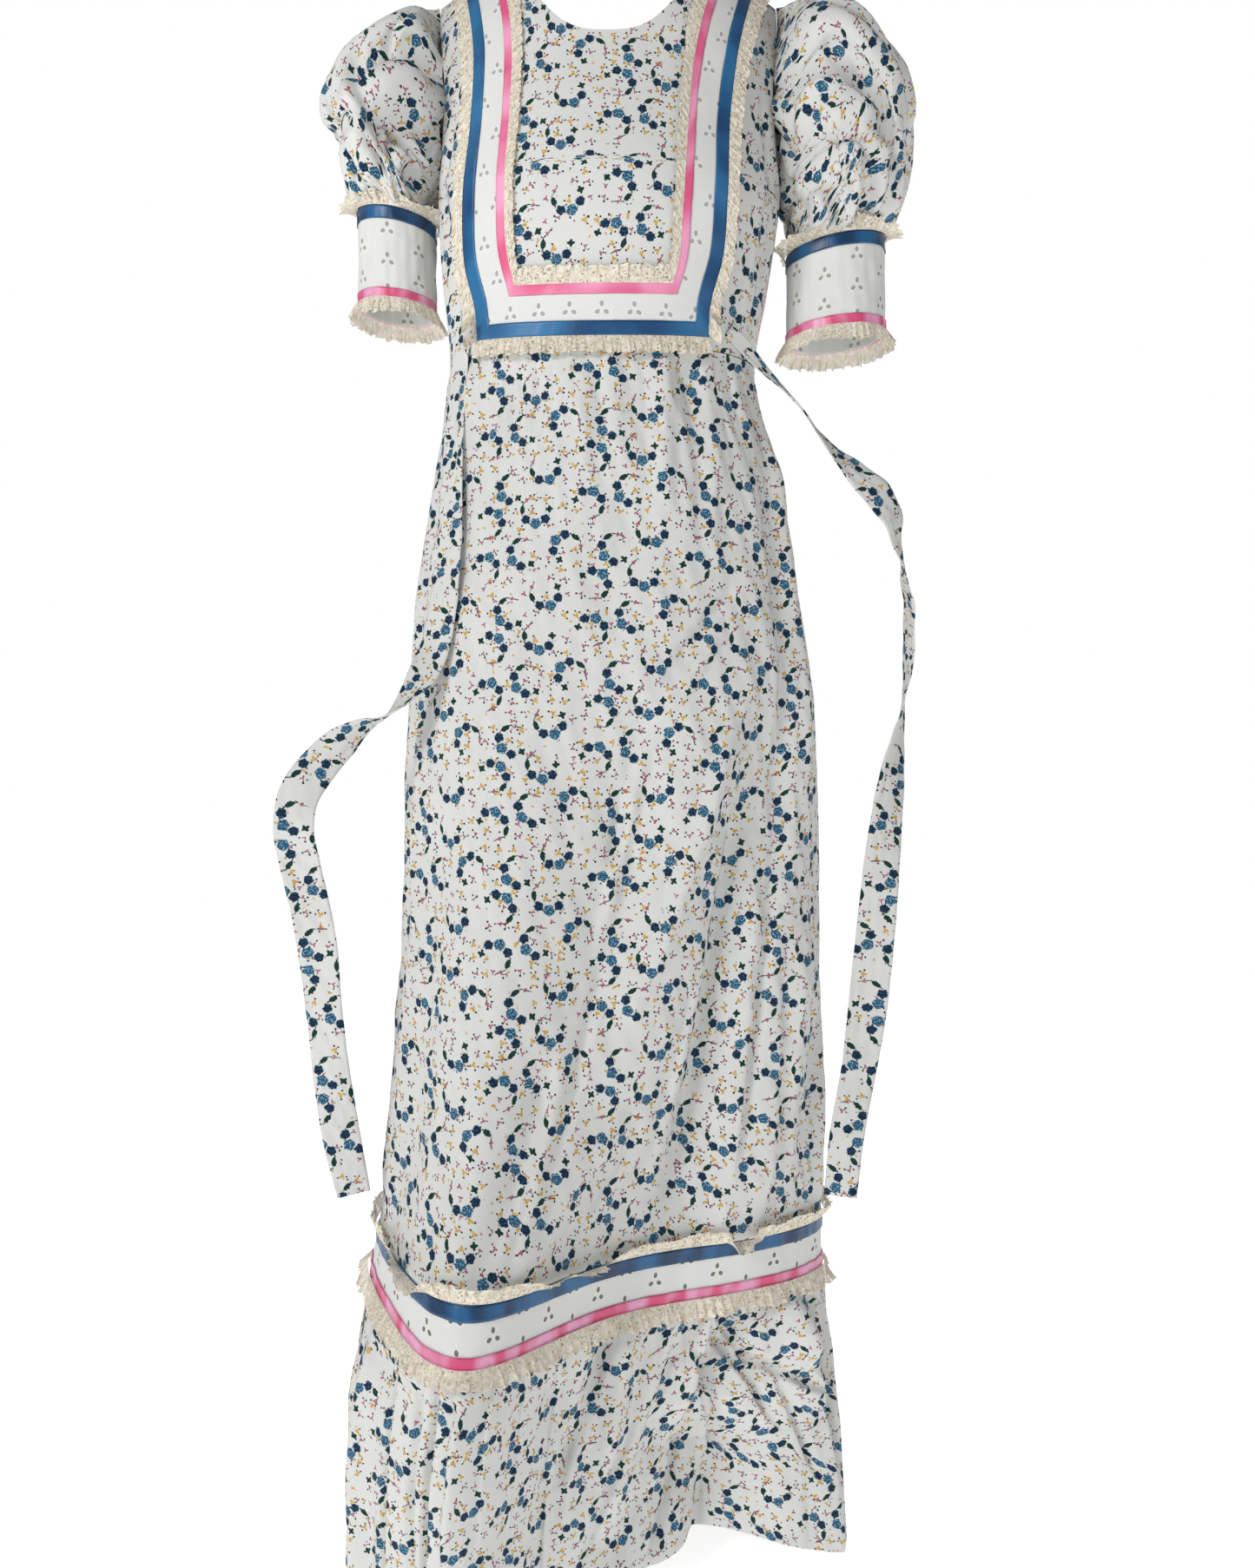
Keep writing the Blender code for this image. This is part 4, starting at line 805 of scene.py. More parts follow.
SLEEVE_FOLDS = {
    "r": (
        (78, 0.1, 30, 0.62, 13, 0.01),
        (104, 0.12, 62, 0.74, 13, -0.01),
        (128, 0.2, 96, 0.84, 14, 0.009),
        (52, 0.3, 14, 0.95, 11, -0.009),
        (-60, 0.15, -40, 0.85, 16, -0.008),
        (-110, 0.15, -90, 0.85, 16, 0.008),
    ),
    "l": (
        (74, 0.08, 36, 0.6, 13, -0.008),
        (100, 0.1, 70, 0.7, 12, 0.009),
        (46, 0.2, 12, 0.62, 12, 0.008),
        (30, 0.52, 84, 0.92, 11, -0.008),
        (-60, 0.15, -40, 0.85, 16, -0.008),
        (-110, 0.15, -90, 0.85, 16, 0.008),
    ),
}
SLEEVE_GATHERS = 9
SLEEVE_GATHER_DEPTH = 0.0022
SLEEVE_SEAM_GAP = 0.0009
SLEEVE_MEAN_RADIUS = 0.06
FOLD_FOOT = 1.6


def sleeve_edge(side_sign, count):
    """The armhole: points round it from the shoulder point down the front and up the back."""
    half = count // 2
    down = np.linspace(1.0, ARMHOLE_LOW, half + 1)
    front = BODICE_FRONT(np.full(down.shape, side_sign), down)
    back = BODICE_BACK(np.full(down.shape, side_sign), down)
    return np.concatenate([front[:-1], back[::-1][:-1]])


def sleeve_swell(side, angle, along):
    """How far the sleeve's folds and gathers stand out at an angle round a ring."""
    total = np.zeros(angle.shape)
    for values in SLEEVE_FOLDS[side]:
        fold = dict(zip(SLEEVE_FOLD_COLUMNS, values))
        t = (along - fold["along_top"]) / (fold["along_low"] - fold["along_top"])
        middle = math.radians(fold["round_top"] + (fold["round_low"] - fold["round_top"]) * t)
        apart = (angle - middle + math.pi) % (2.0 * math.pi) - math.pi
        ends = min(max(3.0 * (t + 0.2), 0.0), 1.0) * min(max(3.0 * (1.2 - t), 0.0), 1.0)
        total = total + fold["rise"] * hump(apart / math.radians(fold["half_round"]) / FOLD_FOOT) * ends
    near_ends = (2.0 * along - 1.0) ** 2
    closed_end = min(max((1.0 - along) * 8.0, 0.0), 1.0)
    gathers = SLEEVE_GATHER_DEPTH * np.sin(SLEEVE_GATHERS * angle) * (0.35 + 0.65 * near_ends)
    return (total + gathers) * closed_end


def sleeve_rings(side, count):
    """Rings of the sleeve: the armhole, then the table's rings, each an oval turned in its plane."""
    sign = 1.0 if side == "r" else -1.0
    rings = [sleeve_edge(sign, count) + np.array([sign * SLEEVE_SEAM_GAP, 0.0, 0.0])]
    angle = 2.0 * math.pi * np.arange(count) / count
    rows = SLEEVE_ROWS[side]
    for number, values in enumerate(rows):
        row = dict(zip(SLEEVE_COLUMNS, values))
        along = (number + 1) / len(rows)
        reach = np.cos(angle)
        middle_x = 0.5 * (row["outer_x"] + row["inner_x"])
        middle_z = 0.5 * (row["outer_z"] + row["inner_z"])
        half_x = 0.5 * (row["outer_x"] - row["inner_x"])
        half_z = 0.5 * (row["outer_z"] - row["inner_z"])
        swell = sleeve_swell(side, angle, along)
        ring = points(
            middle_x + half_x * reach * (1.0 + swell / SLEEVE_MEAN_RADIUS * (reach > 0.2)),
            -row["half_depth"] * np.sin(angle) * (1.0 + swell / SLEEVE_MEAN_RADIUS),
            middle_z + half_z * reach,
        )
        rings.append(ring)
    return np.stack(rings, axis=1)


def smooth_rings(rings, rows):
    """Rings between the given ones, each point carried along a smooth line."""
    knots = np.arange(rings.shape[1], dtype=float)
    at = np.linspace(0.0, knots[-1], rows)
    slopes = np.gradient(rings, axis=1)
    left = np.clip(at.astype(int), 0, len(knots) - 2)
    t = (at - left)[None, :, None]
    start = (1.0 + 2.0 * t) * (1.0 - t) ** 2 * rings[:, left] + t * (1.0 - t) ** 2 * slopes[:, left]
    end = t**2 * (3.0 - 2.0 * t) * rings[:, left + 1] - t**2 * (1.0 - t) * slopes[:, left + 1]
    return start + end, at / knots[-1]


SLEEVE_CREASES = {
    "r": (
        (1.9, 0.05, 1.2, 0.8, 0.075, 0.0062),
        (1.6, 0.1, 0.7, 0.75, 0.07, -0.007),
        (2.3, 0.02, 1.9, 0.6, 0.06, -0.006),
        (1.2, 0.05, 0.4, 0.6, 0.065, 0.005),
        (2.5, 0.3, 2.1, 0.98, 0.06, 0.005),
        (1.5, 0.6, 1.3, 1.02, 0.05, -0.005),
        (0.8, 0.62, 0.7, 1.02, 0.05, 0.0044),
        (0.3, 0.55, 0.2, 1.02, 0.06, -0.0044),
        (2, 0.42, 1.1, 0.66, 0.045, -0.004),
        (2.4, 0.5, 1.7, 0.86, 0.045, -0.0042),
        (2.6, 0.1, 1.7, 0.5, 0.028, -0.0032),
        (2.5, 0.24, 1.3, 0.7, 0.026, -0.0034),
        (2.2, 0.12, 1.2, 0.42, 0.024, 0.0026),
        (1, 0.2, 0.5, 0.62, 0.026, -0.0028),
        (1.7, 0.5, 1.2, 0.88, 0.024, -0.0032),
        (2.3, 0.6, 1.9, 0.96, 0.024, 0.0028),
        (0.6, 0.42, 0.3, 0.84, 0.026, -0.0026),
    ),
    "l": (
        (1.8, 0.05, 1.3, 0.7, 0.07, 0.006),
        (1.4, 0.08, 0.8, 0.66, 0.07, -0.0064),
        (2.2, 0.05, 1.9, 0.62, 0.06, -0.0056),
        (0.8, 0.4, 1.9, 0.78, 0.06, -0.0068),
        (0.6, 0.55, 1.6, 0.92, 0.055, 0.0054),
        (1.6, 0.62, 1.5, 1.02, 0.05, -0.0046),
        (0.9, 0.7, 0.8, 1.02, 0.05, 0.0044),
        (1.2, 0.48, 2.2, 0.7, 0.045, 0.004),
        (2.6, 0.2, 2.3, 0.8, 0.05, -0.0046),
        (2.6, 0.08, 1.9, 0.46, 0.028, -0.003),
        (2.3, 0.3, 1.2, 0.62, 0.026, -0.0034),
        (0.7, 0.16, 1.5, 0.44, 0.026, -0.0028),
        (0.9, 0.36, 2, 0.6, 0.024, 0.0026),
        (1, 0.6, 1.9, 0.84, 0.024, -0.0032),
        (1.9, 0.66, 1.8, 0.97, 0.024, 0.0026),
        (0.5, 0.5, 0.6, 0.9, 0.026, -0.0026),
    ),
}
SLEEVE_CREASE_SCALE = 0.35
SLEEVE_CREASE_GAIN = 1.75
SLEEVE_STEPS = 240
SLEEVE_LEVELS = 110


def gather_marks(angle, count, seed):
    """Small sharp gathers: a narrow trough for each, at uneven places and of uneven depth."""
    phase = count * angle + 1.3 * np.sin(3.0 * angle + seed) + 0.9 * np.sin(7.0 * angle + 2.0 * seed)
    depth = 0.65 + 0.35 * np.sin(5.0 * angle + 1.7 * seed)
    return -depth * np.exp(2.2 * (np.cos(phase) - 1.0)) + 0.30


def out_of_ring(rings):
    """Unit normals of a tube of rings, pointing away from its middle."""
    around = np.roll(rings, -1, axis=0) - np.roll(rings, 1, axis=0)
    across_rings = unit(np.cross(around, np.gradient(rings, axis=1)))
    facing = np.sign(np.sum(across_rings * (rings - rings.mean(axis=0, keepdims=True))))
    return across_rings * facing


for side in ("l", "r"):
    rings, along = smooth_rings(sleeve_rings(side, SLEEVE_STEPS), SLEEVE_LEVELS)
    angle = (2.0 * math.pi * np.arange(SLEEVE_STEPS) / SLEEVE_STEPS)[:, None]
    down = along[None, :]
    swell = SLEEVE_CREASE_GAIN * soft_creases(SLEEVE_CREASES[side], angle, down, SLEEVE_CREASE_SCALE)
    swell = swell + soft_creases(SLEEVE_CREASES[side], 2.0 * math.pi - angle, down, SLEEVE_CREASE_SCALE)
    top = np.exp(-down / 0.18)
    foot = np.exp(-(1.0 - down) / 0.20)
    swell = swell + 0.0034 * gather_marks(angle, 24, 1.0) * top * np.clip(down * 14.0, 0.0, 1.0)
    swell = swell + 0.0036 * gather_marks(angle, 26, 2.5) * foot
    swell = swell + 0.0022 * unevenness(angle * 1.1, down * 1.3, 1.0 if side == "l" else 4.0)
    places = rings + (swell * np.clip((1.0 - down) * 18.0, 0.0, 1.0))[..., None] * out_of_ring(rings)
    around = np.linalg.norm(np.diff(rings, axis=0, append=rings[:1]), axis=2).sum(axis=0).max()
    map_v = lengths_round(rings.swapaxes(0, 1)).T
    map_v = map_v - map_v[:, SLEEVE_LEVELS // 2][:, None]
    map_v = np.concatenate([map_v, map_v[:1]], axis=0)
    map_u = np.broadcast_to(np.linspace(0.0, around, SLEEVE_STEPS + 1)[:, None], map_v.shape)
    middle = places.mean(axis=(0, 1))
    piece = cloth_piece(f"sleeve_{side}_cloth", places, map_u + 0.02, map_v + 0.03, PRINT, True, middle)
    sewn(piece, f"sleeve_{side}")

# Yoke: a U-shaped band of white eyelet cotton on the bodice front, with a pink satin ribbon
# stitched along its inner edge and a blue one along its outer edge, both mitred at the corners,
# and gathered ecru lace sewn inside and outside the ribbons.
YOKE_CORNER_Z = -0.3215
YOKE_BOTTOM_BOW = 0.0048
BAND_SIDE_WIDTH = 0.0215
YOKE_COLUMNS = ("rise", "middle", "half_width", "squeeze")
YOKE_ROWS = (
    (0, -0.0122, 0.065, 0.94),
    (0.11, -0.0122, 0.0675, 0.93),
    (0.206, -0.0116, 0.0764, 0.92),
    (0.35, -0.0105, 0.079, 0.92),
    (0.55, -0.006, 0.079, 0.86),
    (0.75, -0.001, 0.084, 0.8),
    (1, 0.002, 0.103, 0.72),
)
BLUE_WIDTH = 0.0115
PINK_WIDTH = 0.0095
SEAM_GAP = 0.0003
SEAM_ACROSS = 0.0008
YOKE_LIFT = 0.0010
YOKE_BOTTOM_STEPS = 61
YOKE_CORNER_STEPS = 9
LAST_ACROSS = 0.995


def first_across(x):
    """A first guess of how far across the bodice lies at x."""
    return np.degrees(np.arcsin(np.clip(x / SHOULDER_HALF_WIDTH, -0.98, 0.98))) / 90.0


def front_place(x, height):
    """The bodice front's own parameters of the point at x and at a height, by Newton's method."""
    x, height = np.broadcast_arrays(np.asarray(x, float), np.asarray(height, float))
    across = first_across(x)
    rise = (height - EMPIRE_Z) / (top_edge(x, NECK_FRONT_DROP) - EMPIRE_Z)
    for _ in range(12):
        here = BODICE_FRONT(across, rise)
        by_across = (BODICE_FRONT(across + SLOPE_STEP, rise) - here) / SLOPE_STEP
        by_rise = (BODICE_FRONT(across, rise + SLOPE_STEP) - here) / SLOPE_STEP
        miss_x = x - here[..., 0]
        miss_z = height - here[..., 2]
        scale = by_across[..., 0] * by_rise[..., 2] - by_rise[..., 0] * by_across[..., 2]
        across = across + (miss_x * by_rise[..., 2] - by_rise[..., 0] * miss_z) / scale
        rise = rise + (by_across[..., 0] * miss_z - by_across[..., 2] * miss_x) / scale
        across = np.clip(across, -LAST_ACROSS, LAST_ACROSS)
        rise = np.clip(rise, 0.001, 0.996)
    return across, rise


def front_across(x, rise):
    """How far across the bodice front lies at x, on the line of a rise."""
    across = first_across(x)
    for _ in range(10):
        here = BODICE_FRONT(across, rise)[..., 0]
        slope = (BODICE_FRONT(across + SLOPE_STEP, rise)[..., 0] - here) / SLOPE_STEP
        across = np.clip(across + (x - here) / slope, -LAST_ACROSS, LAST_ACROSS)
    return across


def yoke_edge(direction, offset, rise):
    """Where a line at an offset from the pink ribbon's outer edge lies at a rise: left -1, right 1."""
    level = table(YOKE_ROWS, YOKE_COLUMNS, "rise", rise)
    return level["middle"] + direction * (level["half_width"] + offset * level["squeeze"])


def bottom_bow(x):
    """How much the yoke's bottom bows up at x."""
    return YOKE_BOTTOM_BOW * ((x - YOKE_ROWS[0][YOKE_COLUMNS.index("middle")]) / 0.1) ** 2


def yoke_path(offset):
    """The U round the yoke, at an offset outwards from the pink ribbon's outer edge.

    Returns across and rise along the left side, the bottom and the right side. The sides climb
    from the corner by the panel's own rows, and the bottom bows up a little towards its ends.
    """
    bottom_z = max(YOKE_CORNER_Z - offset, EMPIRE_Z + SEAM_ACROSS)
    sides = []
    corners = []
    for direction in (-1.0, 1.0):
        corner_x = yoke_edge(direction, offset, 0.0)
        for _ in range(4):
            corner_rise = float(front_place(corner_x, bottom_z + bottom_bow(corner_x))[1])
            corner_x = yoke_edge(direction, offset, corner_rise)
        corners.append(float(corner_x))
        upper = BODICE_RISES[BODICE_RISES > 0.29]
        rises = np.concatenate([np.linspace(corner_rise, upper[0], YOKE_CORNER_STEPS)[:-1], upper])
        sides.append((front_across(yoke_edge(direction, offset, rises), rises), rises))
    x = np.linspace(*corners, YOKE_BOTTOM_STEPS + 2)[1:-1]
    across, rise = front_place(x, bottom_z + bottom_bow(x))
    return (
        np.concatenate([sides[0][0][::-1], across, sides[1][0]]),
        np.concatenate([sides[0][1][::-1], rise, sides[1][1]]),
    )


EYELET_ACROSS = 0.0133
EYELET_DOWN = 0.058
HOLE_OUT = 0.0042
HOLE_HALF_LENGTH = 0.0024
HOLE_HALF_WIDTH = 0.0018


def eyelet_cotton(name, painted_hole_shade, turned=False):
    """White cotton with groups of three stitched holes, half-drop, the holes filled with a painted shade;
    turned lays it sideways.
    """
    look = Look(name, 0.8)
    u, v, flat = look.cloth_place()
    over, down = (v, u) if turned else (u, v)
    in_over = over.maths("WRAP", 0.5 * EYELET_ACROSS, -0.5 * EYELET_ACROSS)
    number = ((over - in_over) / EYELET_ACROSS).maths("ROUND")
    in_down = (down - number * (0.5 * EYELET_DOWN)).maths("WRAP", 0.5 * EYELET_DOWN, -0.5 * EYELET_DOWN)
    in_x, in_y = (in_down, in_over) if turned else (in_over, in_down)
    far = in_x.size_with(in_y)
    turn = in_x.maths("ARCTAN2", in_y * -1.0)
    third = 2.0 * math.pi / 3.0
    folded = turn.maths("WRAP", 0.5 * third, -0.5 * third)
    out = far * folded.maths("COSINE") - HOLE_OUT
    beside = far * folded.maths("SINE")
    oval = squared_oval(out, HOLE_HALF_LENGTH, beside, HOLE_HALF_WIDTH).maths("SQRT")
    hole = look.smooth(oval, 1.05, 0.80)
    rim = look.smooth(oval, 1.55, 1.35) * look.smooth(oval, 0.95, 1.1)
    shade = look.mixed(rim * 0.55, tint(221, 222, 219), tint(238, 238, 235))
    # Painted shade: the holes get a dark flat tint for the shadow seen through them
    shade = look.mixed(hole, shade, painted_hole_shade)
    crinkle = look.noise(flat, 70.0, 3.0, 0.8) * 0.8 + look.noise(flat, 1100.0) * 0.1
    look.bump(crinkle + rim * 0.35 - hole * 0.6, 0.35, BUMP_DEPTH)
    return look.colour(shade)


def satin(name, painted_shade_tint, painted_sheen_tint, patch, contrast):
    """Satin ribbon with painted sheen: patches of a painted-shade tint and a painted-highlight tint, about a
    given length, with fine ripples across it.
    """
    look = Look(name, 0.38)
    look.shader.inputs["Specular IOR Level"].default_value = 0.5
    flat = look.cloth_place()[2]
    stretched = look.node("ShaderNodeMapping", {}, {"Vector": flat, "Scale": (1.0 / patch, 14.0, 1.0)})
    sheen_patches = look.noise(stretched.outputs[0], 1.0, 1.5)
    fine = look.node("ShaderNodeMapping", {}, {"Vector": flat, "Scale": (420.0, 30.0, 1.0)})
    ripples = look.noise(fine.outputs[0], 1.0, 2.0, 0.4)
    # Painted sheen: the colour swings between painted shade and painted highlight in long patches
    shade = look.mixed(look.smooth(sheen_patches, 0.5 - contrast, 0.5 + contrast), painted_shade_tint, painted_sheen_tint)
    look.bump(ripples * 0.5 + sheen_patches * 0.6, 0.30, BUMP_DEPTH)
    return look.colour(shade)


def gathered_lace(name):
    """Ecru cotton lace: pale threads and small solid leaves on a net that is half clear, the clear net
    painted a darker ecru as shade.
    """
    look = Look(name, 0.9)
    flat = look.cloth_place()[2]
    net = look.cells(flat, 330.0, 1.0, {"feature": "DISTANCE_TO_EDGE"})
    thread = look.smooth(net[0], 0.34, 0.10)
    leaves = look.cells(flat, 150.0, 0.9, {})
    leaf = look.smooth(leaves["Distance"], 0.46, 0.34)
    cover = thread.maths("MAXIMUM", leaf)
    tone = look.noise(flat, 210.0, 2.0)
    shade = look.mixed(look.smooth(tone, 0.36, 0.64), tint(218, 207, 186), tint(240, 234, 219))
    # Painted shade: where no thread covers, the net is a darker ecru
    shade = look.mixed(cover, tint(204, 190, 166), shade)
    look.bump(cover * 0.6 + tone * 0.5, 0.25, 0.0008)
    look.feed(look.shader.inputs["Alpha"], cover * 0.42 + 0.50)
    return look.colour(shade)


# The tint given to each eyelet cotton is the painted shade in its holes
BODICE_EYELET = eyelet_cotton("eyelet_cotton", tint(168, 168, 163))
# The two tints of each satin are its painted shade and its painted sheen
YOKE_BLUE = satin("blue_satin", tint(14, 66, 112), tint(40, 110, 160), 0.060, 0.14)
YOKE_PINK = satin("pink_satin", tint(222, 88, 134), tint(240, 158, 194), 0.060, 0.11)
LACE = gathered_lace("ecru_lace")
# The yoke band's eyelets run straight across it, measured round a chest of this radius
CHEST_RADIUS = 0.15
YOKE_HOLES_AT = (0.0039, -0.3337)


def yoke_trim(name, node, near, far, steps, lift, material, ripple):
    """A strip round the U between two offsets, rippled a little by its stitching, and its length."""
    offsets = np.linspace(near, far, steps)
    paths = [yoke_path(offset) for offset in offsets]
    across = np.stack([path[0] for path in paths], axis=1)
    rise = np.stack([path[1] for path in paths], axis=1)
    base = BODICE_FRONT(across, rise)
    run = run_along(base[:, steps // 2])
    wave = unevenness(run[:, None] * ripple, offsets[None, :] * 8.0, 2.0)
    height = lift + 0.00025 * wave
    places = base + height[..., None] * FRONT_SIDE * normals(BODICE_FRONT, across, rise)
    if material == BODICE_EYELET:
        map_u = CHEST_RADIUS * np.arcsin(base[..., 0] / CHEST_RADIUS) + YOKE_HOLES_AT[0]
        map_v = YOKE_HOLES_AT[1] - base[..., 2]
    else:
        map_u = np.broadcast_to((run - run[len(run) // 2])[:, None], places.shape[:2])
        map_v = np.broadcast_to(offsets[None, :], places.shape[:2])
    piece = cloth_piece(name, places, map_u, map_v, material)
    give_thickness(piece)
    return sewn(piece, node), float(run[-1])


def facing_of(surface, u, v, outward_vector):
    """+1 when the surface's own normal points the same way as the vector, else -1."""
    normal = normals(surface, np.array([u]), np.array([v]))[0]
    return 1.0 if float(np.dot(normal, outward_vector)) > 0.0 else -1.0


FRONT_SIDE = facing_of(BODICE_FRONT, 0.0, 0.4, (0.0, -1.0, 0.0))
blue_in = BAND_SIDE_WIDTH + SEAM_GAP
blue_out = blue_in + BLUE_WIDTH
RIBBON_LIFT = YOKE_LIFT + 0.0006
band, band_run = yoke_trim("yoke_band_cloth", "yoke_band", 0.0, BAND_SIDE_WIDTH, 15, YOKE_LIFT,
                           BODICE_EYELET, 8.0)
pink = yoke_trim("yoke_pink_satin", "yoke_pink_ribbon", -PINK_WIDTH, 0.0004, 7, RIBBON_LIFT,
                 YOKE_PINK, 30.0)[0]
blue = yoke_trim("yoke_blue_satin", "yoke_blue_ribbon", blue_in - 0.0006, blue_out, 7, RIBBON_LIFT,
                 YOKE_BLUE, 30.0)[0]


FRILL_STEPS = 9


def frill(name, sewn_edge, run_out, face_out, width, fullness, period, stand, lean, seed, closed=False):
    """Gathered lace along a sewn edge.

    Each point goes out from the edge by its share of the width, and is lifted by waves that grow
    towards the free edge, where they also sway along the edge and so fold into loops. lean turns
    the frill from lying flat (0) to standing up from the cloth (90), in degrees, along its length.
    Returns the frill and the lace's flat length.
    """
    forward = np.gradient(sewn_edge, axis=0)
    if closed:
        forward = np.roll(sewn_edge, -1, axis=0) - np.roll(sewn_edge, 1, axis=0)
    forward = unit(forward)
    run = run_along(sewn_edge)
    total = run[-1] + (np.linalg.norm(sewn_edge[0] - sewn_edge[-1]) if closed else 0.0)
    waves = max(3, round(total / period))
    whole = 2.0 * math.pi * run / total
    phase = waves * whole
    warp = 1.5 * np.sin(5.0 * whole + seed) + 1.1 * np.sin(13.0 * whole + 2.0 * seed)
    other = round(1.6 * waves) * whole - 1.4 * warp + seed
    wave = 0.60 * np.sin(phase + warp) + 0.40 * np.sin(other)
    sway = np.sin(phase + 1.5 * warp + 0.6) + 0.5 * np.sin(other + 1.0)
    size = 0.64 + 0.36 * np.sin(9.0 * whole + 3.0 * seed)
    t = np.linspace(0.0, 1.0, FRILL_STEPS)[None, :]
    tilt = np.radians(np.broadcast_to(lean, run.shape))[:, None]
    scallop = 1.0 + (0.04 * np.sin(other + seed) + 0.06 * np.sin(phase - warp))[:, None] * t
    out = width * t * scallop
    lift = 0.0006 + stand * size[:, None] * (wave[:, None] * 0.5 + 0.5) * t**0.8
    lift = lift + 0.0004 * np.sin(9.0 * t + other[:, None] * 2.0) * t
    side = period * 0.20 * sway[:, None] * t**1.2
    flat_way = out * np.cos(tilt) - lift * np.sin(tilt) * 0.4
    up_way = out * np.sin(tilt) + lift
    places = (
        sewn_edge[:, None]
        + flat_way[..., None] * run_out[:, None]
        + up_way[..., None] * face_out[:, None]
        + side[..., None] * forward[:, None]
    )
    if closed:
        run = np.append(run, total)
    map_u = np.broadcast_to((run * fullness)[:, None], (len(run), FRILL_STEPS))
    map_v = np.broadcast_to(width * t, map_u.shape)
    behind = sewn_edge.mean(axis=0) - face_out.mean(axis=0)
    return cloth_piece(name, places, map_u, map_v, LACE, closed, behind), total * fullness


def dense_path(path, count):
    """A path of across and rise at even steps of its length on the bodice."""
    run = run_along(BODICE_FRONT(path[0], path[1]))
    at = np.linspace(0.0, run[-1], count)
    return np.interp(at, run, path[0]), np.interp(at, run, path[1])


YOKE_LACE_FULLNESS = 1.2
YOKE_LACE_POINTS = 800


def yoke_frill(name, node, offset, direction, width, keep, period, stand, lean, seed):
    """Lace sewn at an offset round the U, its free edge towards the middle (-1) or outwards (1)."""
    across, rise = (values[keep] for values in dense_path(yoke_path(offset), YOKE_LACE_POINTS))
    further = dense_path(yoke_path(offset + direction * 0.006), YOKE_LACE_POINTS)
    edge = BODICE_FRONT(across, rise)
    face = FRONT_SIDE * normals(BODICE_FRONT, across, rise)
    run_out = unit(BODICE_FRONT(further[0][keep], further[1][keep]) - edge)
    edge = edge + face * (YOKE_LIFT + 0.0004)
    piece, length = frill(name, edge, run_out, face, width, YOKE_LACE_FULLNESS, period, stand, lean, seed)
    sewn(piece, node)


# Each outer lace ends at a corner of the U in a loop that turns up over the blue ribbon
SIDE_POINTS = 313
to_corner = np.linspace(0.0, 1.0, SIDE_POINTS)
loop = 10.0 + 130.0 * np.exp(-(((to_corner - 0.975) / 0.022) ** 2))
inner_at = -PINK_WIDTH + 0.0020
outer_at = blue_out - 0.0008
for place, offset, direction, width, keep, period, stand, lean, seed in (
    ("inner", inner_at, -1.0, 0.0140, slice(None), 0.0096, 0.0016, 2.0, 1.0),
    ("outer_l", outer_at, 1.0, 0.0150, slice(0, SIDE_POINTS), 0.0102, 0.0021, loop, 2.0),
    ("outer_r", outer_at, 1.0, 0.0150, slice(-SIDE_POINTS, None), 0.0102, 0.0021, loop[::-1], 3.0),
):
    node = f"yoke_lace_{place}"
    yoke_frill(f"{node}_cloth", node, offset, direction, width, keep, period, stand, lean, seed)

# Cuffs: a band of the eyelet cotton round each arm, with a blue satin ribbon near its top, a pink
# one at its foot, and a gathered lace frill sewn at each edge. The eyelets run the other way here.
CUFF_COLUMNS = SLEEVE_COLUMNS
CUFF_ROWS = {
    "r": ((0.2440, -0.2400, 0.1580, -0.2560, 0.0430), (0.2445, -0.3240, 0.1580, -0.3330, 0.0430)),
    "l": ((-0.2210, -0.2180, -0.1530, -0.2300, 0.0390), (-0.2200, -0.3010, -0.1520, -0.3080, 0.0390)),
}
CUFF_HEIGHT = 0.083
CUFF_BLUE_AT = 0.016
CUFF_STEPS = 160


def cuff_point(side, angle, along, lift):
    """A cuff is an oval tube from its top ring (along 0) to its bottom ring (along 1)."""
    top, low = (dict(zip(CUFF_COLUMNS, values)) for values in CUFF_ROWS[side])
    row = {name: top[name] + (low[name] - top[name]) * along for name in CUFF_COLUMNS}
    reach = np.cos(angle)
    half_x = 0.5 * (row["outer_x"] - row["inner_x"])
    half_z = 0.5 * (row["outer_z"] - row["inner_z"])
    sign = 1.0 if side == "r" else -1.0
    return points(
        0.5 * (row["outer_x"] + row["inner_x"]) + (half_x + sign * lift) * reach,
        -(row["half_depth"] + lift) * np.sin(angle),
        0.5 * (row["outer_z"] + row["inner_z"]) + half_z * reach,
    )


def cuff_cloth(side, angle, along, lift):
    """The cuff's own surface: its oval tube with a few soft upright creases."""
    wave = unevenness(angle * 1.4, along * 1.2, 4.0 if side == "l" else 6.0)
    return cuff_point(side, angle, along, lift + 0.0007 * wave * np.clip(along * 4.0, 0.0, 1.0))
